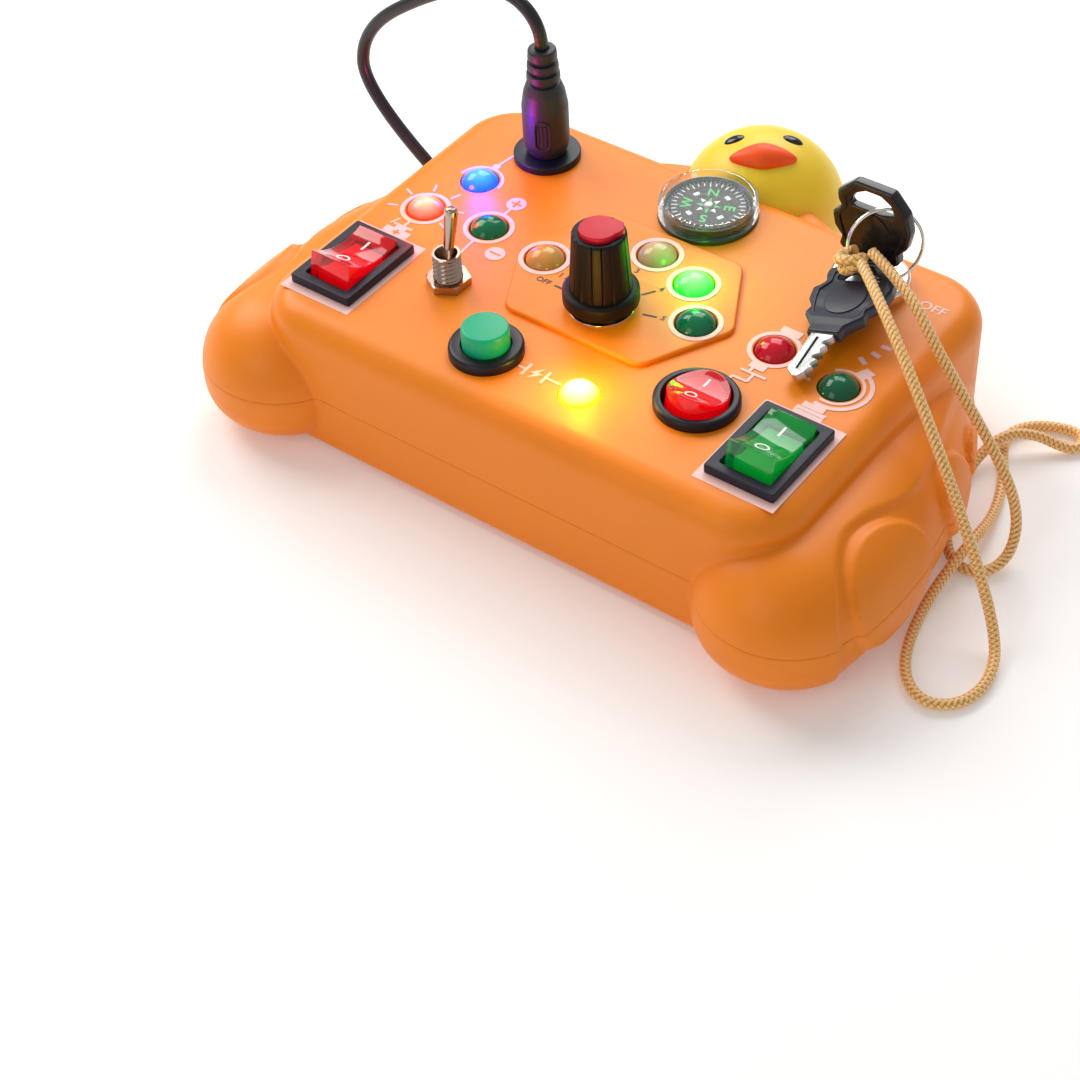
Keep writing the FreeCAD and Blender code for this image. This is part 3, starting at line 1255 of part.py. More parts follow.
def lanyard_knot():
    """A hitch: two turns of the cord round the ring and a short bar across them."""
    chord, other, normal = ring_axes()
    angle = math.radians(KNOT_ANGLE)
    outward = chord * math.cos(angle) + other * math.sin(angle)
    tangent = normal.cross(outward)
    point = ring_centre() + outward * RING_RADIUS
    turn = RING_WIRE + LANYARD_RADIUS + RUN_GAP
    offset = tangent * (LANYARD_RADIUS * KNOT_SPACING)
    loops = [Part.makeTorus(turn, LANYARD_RADIUS, point + offset * side, tangent) for side in (-1, 1)]
    return loops[0].fuse(loops[1])


def plug_top():
    return DECK_TOP + JACK_FLANGE_HEIGHT + PLUG_GRIP_LENGTH + PLUG_COLLAR + PLUG_NECK_LENGTH


def cable_route():
    """From the top of the plug over the side of the board and down into the gland."""
    start = Vector(JACK_X, JACK_Y, plug_top())
    seat = gland_seat()
    axis = gland_axis()
    middle = [Vector(seat.x + offset, y, z) for offset, y, z in CABLE_MIDDLE]
    return ([start, start + Vector(0, 0, CABLE_RISE)] + middle
            + [seat + axis * CABLE_ENTRY, seat + axis * CABLE_END])


def cable_gland():
    axis = gland_axis()
    seat = gland_seat()
    collar = Part.makeCone(GLAND_COLLAR, GLAND_COLLAR - GLAND_COLLAR_TAPER, GLAND_COLLAR_HEIGHT,
                           seat - axis * 0.2, axis)
    stem = Part.makeCylinder(GLAND_RADIUS, GLAND_DEPTH, seat - axis * GLAND_DEPTH, axis)
    gland = collar.fuse(stem)
    gland = gland.cut(outer_housing().cut(gland_hole(GLAND_RADIUS + PRESS_GAP)))
    return gland.cut(Part.makeCylinder(CABLE_RADIUS, GLAND_DEPTH * 4, seat - axis * GLAND_DEPTH * 2, axis))


def save(name, shape):
    shape = shape.copy()
    shape.translate(Vector(0, BOARD_SHIFT_Y, 0))
    shape.exportStep("parts/" + name + ".step")


def main():
    os.makedirs("parts", exist_ok=True)
    top, bottom = shells()
    save("top_shell", top)
    save("bottom_shell", bottom)
    save("housing_screws", housing_screws())
    save("rubber_feet", rubber_feet())
    save("battery_door", battery_door())
    save("battery_door_screw", screw(0, DOOR_SCREW_Y, BASE_Z + 0.1, BASE_Z + DOOR_SCREW_SINK,
                                     DOOR_POST_TOP - 1.4))
    for number, (y, side) in enumerate(CELLS):
        save("battery_cell_" + str(number + 1), battery_cell(y, side))
    save("battery_contacts", battery_contacts())
    save("circuit_board", circuit_board())
    save("duck_head", duck_head())
    save("duck_eyes", duck_eyes())
    save("duck_beak", duck_beak())
    save("compass_case", compass_case())
    save("compass_card", compass_card())
    save("compass_lens", compass_lens())
    save("red_rocker_frame", rocker_frame(-ROCKER_X, ROCKER_Y))
    save("red_rocker_cap", rocker_cap(-ROCKER_X, ROCKER_Y))
    save("green_rocker_frame", rocker_frame(ROCKER_X, ROCKER_Y))
    save("green_rocker_cap", rocker_cap(ROCKER_X, ROCKER_Y))
    save("round_rocker_frame", round_frame())
    save("round_rocker_cap", round_cap())
    save("switch_terminals", switch_terminals())
    save("toggle_body", toggle_body())
    save("toggle_nut", toggle_nut())
    save("toggle_lever", toggle_lever())
    save("button_body", button_body())
    save("button_cap", button_cap())
    save("button_spring", button_spring())
    save("rotary_switch_body", rotary_body())
    save("rotary_shaft", rotary_shaft())
    save("knob", knob())
    save("knob_cap", knob_cap())
    for name, x, y, seat in lamp_places():
        save(name, lamp(x, y, seat))
    save("jack_socket", jack_socket())
    save("plug_barrel", plug_barrel())
    save("dc_plug", dc_plug())
    save("cable", cord(cable_route(), CABLE_RADIUS, "cable"))
    save("cable_gland", cable_gland())
    save("lock_barrel", lock_barrel())
    save("lock_plug", lock_plug())
    save("key_bow", placed(key_bow_shape(), key_place()))
    save("key_blade", placed(key_blade_shape(KEY_CUTS), key_place()))
    save("spare_key_bow", placed(key_bow_shape(), spare_place()))
    save("spare_key_blade", placed(key_blade_shape(SPARE_CUTS), spare_place()))
    save("key_ring", key_ring())
    save("lanyard_knot", lanyard_knot())
    save("lanyard", cord(LANYARD_ROUTE, LANYARD_RADIUS, "lanyard"))
    save("panel_nuts", panel_nuts())


if __name__ == "__main__":
    main()
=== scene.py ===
"""Looks of the busy board: its moulded housing, controls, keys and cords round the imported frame.

Shapes are worked out in deck millimetres, with the origin on the table below the deck's centre,
and settle() turns each finished mesh into the part's frame, in metres.
"""

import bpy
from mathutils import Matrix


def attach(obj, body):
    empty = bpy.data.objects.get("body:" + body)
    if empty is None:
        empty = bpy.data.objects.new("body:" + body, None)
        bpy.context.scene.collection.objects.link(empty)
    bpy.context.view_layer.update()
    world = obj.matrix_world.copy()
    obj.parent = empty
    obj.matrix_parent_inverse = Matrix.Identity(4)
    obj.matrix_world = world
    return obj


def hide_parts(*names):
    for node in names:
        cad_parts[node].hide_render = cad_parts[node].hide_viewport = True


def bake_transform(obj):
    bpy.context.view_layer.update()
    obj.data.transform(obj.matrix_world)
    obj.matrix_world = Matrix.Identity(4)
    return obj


bl_info = {
    "name": "Busy board",
    "version": (1, 0, 0),
    "blender": (4, 5, 0),
    "location": "3D View > Sidebar > Busy board",
    "description": "Dresses the packed busy board with its housing, controls, keys and cords",
    "category": "Object",
}

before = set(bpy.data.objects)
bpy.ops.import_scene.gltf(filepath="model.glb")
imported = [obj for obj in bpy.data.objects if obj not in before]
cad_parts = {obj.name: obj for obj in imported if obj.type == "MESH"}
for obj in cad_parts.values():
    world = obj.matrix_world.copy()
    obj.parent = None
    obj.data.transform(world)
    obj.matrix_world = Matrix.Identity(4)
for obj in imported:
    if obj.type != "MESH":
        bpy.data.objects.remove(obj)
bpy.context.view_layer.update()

import math

import bmesh
import bpy
import numpy as np
from bpy.props import FloatProperty, FloatVectorProperty, PointerProperty
from mathutils import Matrix, Vector

MM = 0.001

# Deck
DECK_TOP = 33.0
HALF_WIDTH = 62.0
HALF_DEPTH = 42.5
DECK_CORNER = 13.0
DECK_EDGE = 5.5
BASE_Z = 1.0
BASE_EDGE = 2.0
SEAM_Z = 14.0
SEAM_CHAMFER = 0.08
SEAM_CHAMFER_HEIGHT = 0.3
PLATEAU = 34.0
HEXAGON = ((16.0, 19.2, 3.5), (25.5, 1.4, 3.5), (16.0, -17.0, 3.5), (-16.0, -17.0, 3.5), (-25.5, 1.4, 3.5),
           (-16.0, 19.2, 3.5))

# Grips
GRIP_TOP = 27.0
GRIP_TOP_EDGE = 15.8
GRIP_BASE_EDGE = 8.6
GRIP_RADIUS = 95.0
GRIP_X = 79.2 - GRIP_RADIUS
GRIP_MIDDLE_Y = -22.3
GRIP_BACK_Y = 38.5
HORN_RADIUS = 17.7
HORN_TURN = 8.6
HORN_X = GRIP_X + (GRIP_RADIUS - HORN_RADIUS) * math.cos(math.radians(HORN_TURN))
HORN_Y = GRIP_MIDDLE_Y - (GRIP_RADIUS - HORN_RADIUS) * math.sin(math.radians(HORN_TURN))
RECESS_DEPTH = 0.95
RECESS_FOOT = (2.0, 5.0)
RECESS_EASE = 0.7
RECESS_BACK_SLOPE = 1.6
RECESS_FRONT_SLOPE = -1.0
OVAL_RISE = 0.35
OVAL_EASE = 0.6
OVAL_TILT = math.radians(32.0)
OVAL_LEVEL = -26.5
# Each oval's middle along the grip, half its width and half its height
OVALS = ((-24.4, 12.4, 11.0), (3.9, 7.4, 8.0), (18.5, 4.6, 5.2))
# Where the sunken side begins, seen from above
RECESS_LINE = ((77.0, -41.7), (73.2, -37.7), (69.6, -32.3), (67.2, -26.0), (68.4, -19.5), (71.0, -12.0),
               (71.2, -5.5), (69.0, 4.0), (65.6, 15.0), (63.2, 23.0), (65.5, 29.0))

# Hump and head
HUMP_RADIUS = 45.0
HUMP_Y = 5.3
HUMP_TOP = 29.5
HUMP_EDGE = 3.0
HUMP_BLEND = 1.2
HEAD = Vector((0.0, 50.9, 21.0))
HEAD_RADIUS = 17.6
HEAD_TURN = math.radians(32.0)
COMPASS_HOLLOW = 10.5

# From the deck's centre to the middle of the part's footprint
SHIFT_Y = -7.1

# Underside
BAY_Y = 21.6
DOOR_SCREW_Y = 42.2
FEET = ((-50.5, -36.8), (50.5, -36.8), (-54.5, 35.0), (54.5, 35.0))

# Controls, as x and y on the deck
RED_ROCKER = (-49.2, -23.1)
GREEN_ROCKER = (49.2, -23.1)
ROUND_ROCKER = (30.5, -18.8)
TOGGLE = (-30.1, -16.5)
BUTTON = (-11.1, -28.8)
DIAL = (0.0, -6.6)
COMPASS = (0.4, 29.9)
JACK = (-39.1, 28.3)
LOCK = (39.1, 28.3)
ROCKER_TILT = math.radians(12.5)
POINTER = math.radians(40.0)
ROCKER_PRINT = (17.3, 24.8)
WELL_FLOOR = 21.1
CASE_FLOOR = 20.0
COMPASS_LEDGE = 34.18
COMPASS_CARD_TOP = 35.3
DIAL_HOLE = 3.6
LAMP_RADIUS = 4.0
LAMP_GAP = 0.15
DIAL_LAMPS = ("dark_green", "green", "clear", "red", "amber")
DIAL_LAMP_REACH = 19.0
DECK_LAMPS = {"left_red": (-49.1, -0.2), "left_blue": (-45.6, 13.4), "toggle_green": (-34.3, 1.9),
              "yellow": (10.8, -28.8), "right_red": (34.3, 1.9), "right_green": (49.9, -0.5)}

# Print: how far a layer reaches into the deck, and how much higher each next one stands
INK_SINK = 0.02
INK_STEP = 0.0015
MARK_THICKNESS = 0.05

# Keys and ring
KEY_CENTRE = Vector((39.1, 28.3, 49.0))
RING_CENTRE = Vector((42.83, 26.67, 45.57))
RING_RADIUS = 7.2
RING_HALF = 0.6
RING_CHORD = Vector((0.4662, 0.0, -0.8847)).normalized()
RING_SWING = math.radians(42.57)
SPARE_TIP = Vector((43.24, -5.07, 35.34))
SPARE_HOLE_ANGLE = math.radians(53.7)
SPARE_ROLL = math.radians(-18.34)
BLADE_TIP = 23.6
NECK_END = 12.4
BOW_OUTLINE = ((-3.5, -12.4, 0.2), (3.5, -12.4, 0.2), (3.6, -10.6, 0.8), (5.2, -8.9, 0.8), (6.6, -7.6, 0.8),
               (6.1, -5.6, 0.8), (7.9, -3.5, 1.5), (8.6, 0.4, 2.5), (7.6, 4.2, 2.0), (4.1, 8.0, 1.2),
               (-4.1, 8.0, 1.2), (-7.7, 4.6, 0.9), (-7.4, 2.9, 0.5), (-6.5, 1.5, 0.9), (-7.5, 0.1, 0.5),
               (-8.5, -0.6, 0.8), (-7.9, -3.5, 1.5), (-6.1, -5.6, 0.8), (-6.6, -7.6, 0.8), (-5.2, -8.9, 0.8),
               (-3.6, -10.6, 0.8))
BOW_PANEL = ((-4.6, -7.6, 1.5), (4.6, -7.6, 1.5), (6.3, -3.0, 2.5), (6.9, 0.6, 2.0), (6.1, 3.6, 2.0),
             (3.2, 7.1, 1.2), (-3.2, 7.1, 1.2), (-5.8, 3.9, 1.0), (-5.3, 1.5, 1.0), (-6.8, -1.0, 1.0),
             (-6.3, -3.0, 2.5))
BOW_HOLE = ((-5.1, 2.3, 0.7), (5.1, 2.3, 0.7), (3.9, 5.2, 1.8), (1.6, 6.5, 1.2), (-1.6, 6.5, 1.2),
            (-3.9, 5.2, 1.8))
KEY_CUTS = (0.8, 1.5, 1.0, 1.7, 0.9)
SPARE_CUTS = (1.0, 0.9, 1.6, 0.8, 1.4)

# Cords: the lead as in the part's source, the lanyard near it and along the photograph's course
LANYARD_RADIUS = 1.1
LANYARD_ROUTE = ((41.3, 20.6, 44.6), (48.8, 13.8, 44.8), (64.5, 2.6, 37.0), (84.0, -8.4, 17.0),
                 (93.4, -13.4, 2.4), (97.0, -22.0, 1.2), (95.6, -30.0, 1.2), (90.0, -33.8, 1.2),
                 (83.8, -30.6, 1.2), (79.6, -21.8, 1.2), (77.4, -9.0, 2.0), (78.4, 3.0, 5.4),
                 (77.2, 15.0, 1.6), (73.4, 26.0, 1.2), (69.2, 32.8, 1.2), (67.6, 38.0, 1.2),
                 (70.2, 42.4, 1.2), (74.2, 44.8, 1.2), (78.4, 46.0, 1.2), (81.2, 44.6, 1.2),
                 (81.4, 41.6, 1.2), (78.6, 40.0, 1.5), (73.6, 38.4, 3.6), (68.8, 34.4, 4.6),
                 (66.4, 27.0, 2.4), (67.8, 17.5, 1.2), (71.0, 7.2, 1.2), (75.0, 1.2, 1.2),
                 (79.8, -0.6, 1.2), (83.7, 2.0, 1.2), (85.0, 7.4, 2.6), (83.6, 11.6, 8.5),
                 (78.8, 12.2, 18.5), (61.8, 14.2, 37.4), (52.5, 18.6, 44.8), (41.9, 23.2, 45.8))
BRAID_RELIEF = 0.1
BRAID_STRANDS = 8
CABLE_RADIUS = 1.4
PLUG_TOP = 59.5
GLAND = Vector((-64.6, 24.0, 18.6))
GLAND_RISE = math.radians(36.0)
GLAND_AXIS = Vector((-math.cos(GLAND_RISE), 0.0, math.sin(GLAND_RISE)))
CABLE_ROUTE = ((JACK[0], JACK[1], PLUG_TOP), (JACK[0], JACK[1], PLUG_TOP + 6.0), (-48.4, 28.2, 71.0),
               (-66.0, 27.9, 64.0), (-86.0, 26.0, 49.5), tuple(GLAND + GLAND_AXIS * 26.0),
               tuple(GLAND + GLAND_AXIS * 0.5))

# The photograph's camera, its place from the deck's centre
CAMERA_PLACE = Vector((206.908, -281.261, 316.297))
CAMERA_TURN = (44.7827, 2.6484, 36.805)
CAMERA_LENS = 76.0502
CAMERA_SENSOR = 36.0


def placed(point):
    """A point of the deck's millimetres in the part's frame, in metres."""
    return point[0] * MM, (point[1] + SHIFT_Y) * MM, point[2] * MM


def linear(code):
    """An sRGB hex colour as linear RGBA."""
    parts = [int(code[i:i + 2], 16) / 255 for i in (0, 2, 4)]
    return tuple(c / 12.92 if c <= 0.04045 else ((c + 0.055) / 1.055) ** 2.4 for c in parts) + (1.0,)


def length_property(name, description, millimetres):
    return FloatProperty(name=name, description=description, default=millimetres * MM, unit="LENGTH",
                         precision=4, min=0.0)


def colour_property(name, description, code):
    return FloatVectorProperty(name=name, description=description, default=linear(code), size=4,
                               subtype="COLOR", min=0.0, max=1.0)


class BoardSizes(bpy.types.PropertyGroup):
    """Sizes that change how the board is dressed."""

    skin_grid: length_property("Skin grid", "Spacing of the housing's mesh", 0.55)
    blend: length_property("Grip blend", "Reach of the soft valley between deck and grips", 0.7)
    seam: length_property("Seam", "Width of the parting line between the two shells", 0.08)
    decal: length_property("Print", "Thickness of the printed outlines", 0.08)
    strand: length_property("Strand", "Length of one crossing in the braided cord", 1.1)
    key_light: FloatProperty(name="Key light", description="Power of the large softbox", default=3.2,
                             unit="POWER", min=0.0)


class BoardColours(bpy.types.PropertyGroup):
    """Colours that a user would change."""

    housing: colour_property("Housing", "Moulded shells", "F4870A")
    duck: colour_property("Duck", "Head behind the deck", "F2CC1F")
    print_tone: colour_property("Print", "Outlines printed on the deck", "F0C4BE")
    button: colour_property("Push button", "Cap of the push button", "0CAE7C")
    cord_tone: colour_property("Cord", "Braided cord of the keys", "E2982C")


def add(tree, kind, inputs=(), **settings):
    """Add one node with its settings, and set or link its inputs."""
    made = tree.nodes.new(kind)
    for name, value in settings.items():
        setattr(made, name, value)
    for name, value in dict(inputs).items():
        if isinstance(value, bpy.types.NodeSocket):
            tree.links.new(value, made.inputs[name])
        else:
            made.inputs[name].default_value = value
    return made


def start_material(name, sockets):
    """A material's tree and shader, with the values that are the same all over it."""
    material = bpy.data.materials.new(name)
    material.use_nodes = True
    tree = material.node_tree
    shader = tree.nodes["Principled BSDF"]
    for socket, value in sockets.items():
        shader.inputs[socket].default_value = value
    return material, tree, shader


def moulded(name, colour, roughness, grain=0.3, depth=0.006, mottle=0.12, **sockets):
    """A moulded plastic: the mould's fine spark texture, a slow change of tone from the melt's flow
    and a gloss that varies a little where the skin touched the tool. A real spark texture is about
    0.05 mm; it is drawn as coarse as grain says, in millimetres, so that it shows."""
    values = {socket.replace("_", " "): value for socket, value in sockets.items()}
    material, tree, shader = start_material(name, values)
    place = add(tree, "ShaderNodeTexCoord").outputs["Object"]
    flow = add(tree, "ShaderNodeTexNoise", {"Vector": place, "Scale": 1 / (14 * MM), "Detail": 3.0})
    grains = add(tree, "ShaderNodeTexNoise", {"Vector": place, "Scale": 1 / (grain * MM), "Detail": 2.0})
    darker = tuple(c * (1 - mottle) for c in colour[:3]) + (1.0,)
    lighter = tuple(min(1.0, c * (1 + mottle)) for c in colour[:3]) + (1.0,)
    tone = add(tree, "ShaderNodeValToRGB", {"Fac": flow.outputs["Fac"]})
    tone.color_ramp.elements[0].color = darker
    tone.color_ramp.elements[1].color = lighter
    tree.links.new(tone.outputs["Color"], shader.inputs["Base Color"])
    gloss = add(tree, "ShaderNodeMapRange", {"Value": flow.outputs["Fac"], "To Min": roughness * 0.9,
                                             "To Max": roughness * 1.12})
    tree.links.new(gloss.outputs["Result"], shader.inputs["Roughness"])
    bump = add(tree, "ShaderNodeBump", {"Height": grains.outputs["Fac"], "Distance": depth * MM,
                                        "Strength": 1.0})
    tree.links.new(bump.outputs["Normal"], shader.inputs["Normal"])
    return material


def plated(name, colour, roughness, scratch=0.12, depth=0.002, stretch=(1.0, 1.0, 1.0)):
    """A plated or drawn metal: bright, with fine hairlines and a gloss that varies along them. Real
    hairlines are some 0.02 mm apart; scratch gives the coarser spacing that shows."""
    material, tree, shader = start_material(name, {"Metallic": 1.0, "Base Color": colour})
    place = add(tree, "ShaderNodeTexCoord").outputs["Object"]
    scaled = add(tree, "ShaderNodeMapping", {"Vector": place, "Scale": stretch})
    lines = add(tree, "ShaderNodeTexNoise", {"Vector": scaled.outputs["Vector"], "Scale": 1 / (scratch * MM),
                                             "Detail": 3.0})
    gloss = add(tree, "ShaderNodeMapRange", {"Value": lines.outputs["Fac"], "To Min": roughness * 0.6,
                                             "To Max": roughness * 1.5})
    tree.links.new(gloss.outputs["Result"], shader.inputs["Roughness"])
    bump = add(tree, "ShaderNodeBump", {"Height": lines.outputs["Fac"], "Distance": depth * MM})
    tree.links.new(bump.outputs["Normal"], shader.inputs["Normal"])
    return material


def lens(name, colour, heat=0.0, glow="FFFFFF"):
    """A moulded polystyrene lens: tinted right through, glossy, with a paler core where a lamp is lit. An
    unlit lens carries a faint painted glow of its own colour and painted shade towards its rim.
    """
    # An unlit lens glows at strength 0.12 in its own colour: a painted glow, as no lamp lights it
    material, tree, shader = start_material(name, {
        "Base Color": colour, "Roughness": 0.1, "IOR": 1.5, "Specular IOR Level": 0.3,
        "Transmission Weight": 0.15, "Coat Weight": 0.2, "Coat Roughness": 0.03,
        "Emission Strength": heat or 0.12})
    place = add(tree, "ShaderNodeTexCoord").outputs["Object"]
    swirl = add(tree, "ShaderNodeTexNoise", {"Vector": place, "Scale": 1 / (2.5 * MM), "Detail": 2.0})
    bump = add(tree, "ShaderNodeBump", {"Height": swirl.outputs["Fac"], "Distance": 0.02 * MM})
    tree.links.new(bump.outputs["Normal"], shader.inputs["Normal"])
    core = add(tree, "ShaderNodeAttribute", attribute_name="core")
    tone = add(tree, "ShaderNodeValToRGB", {"Fac": core.outputs["Fac"]})
    rim, middle = tone.color_ramp.elements
    if heat:
        rim.color = colour
        middle.color = linear(glow)
        tree.links.new(tone.outputs["Color"], shader.inputs["Emission Color"])
    else:
        # Unlit: painted shade darkens the rim to 0.6 of the colour
        rim.color = tuple(c * 0.6 for c in colour[:3]) + (1.0,)
        middle.color = colour
        tree.links.new(tone.outputs["Color"], shader.inputs["Base Color"])
        shader.inputs["Emission Color"].default_value = colour
    return material


def braided(name, colour):
    """Braided polyester: satin strands, with a painted highlight on their crowns and painted shade, brown,
    where they dive under. The fibres are drawn 0.16 mm apart, coarser than real ones, so that they show."""
    material, tree, shader = start_material(name, {"Roughness": 0.38, "Sheen Weight": 0.3,
                                                   "Specular IOR Level": 0.6, "Anisotropic": 0.4})
    crown = add(tree, "ShaderNodeAttribute", attribute_name="crown")
    place = add(tree, "ShaderNodeTexCoord").outputs["Object"]
    fibre = add(tree, "ShaderNodeTexNoise", {"Vector": place, "Scale": 1 / (0.16 * MM), "Detail": 2.0})
    # Painted shade, brown, where a strand dives under and a painted highlight on its crown, set by the crest
    tone = add(tree, "ShaderNodeValToRGB", {"Fac": crown.outputs["Fac"]})
    tone.color_ramp.elements[0].color = linear("843E08")
    tone.color_ramp.elements[0].position = 0.1
    tone.color_ramp.elements[1].color = linear("FFE0A0")
    middle = tone.color_ramp.elements.new(0.5)
    middle.color = colour
    tree.links.new(tone.outputs["Color"], shader.inputs["Base Color"])
    bump = add(tree, "ShaderNodeBump", {"Height": fibre.outputs["Fac"], "Distance": 0.03 * MM})
    tree.links.new(bump.outputs["Normal"], shader.inputs["Normal"])
    return material


MATERIALS = {}


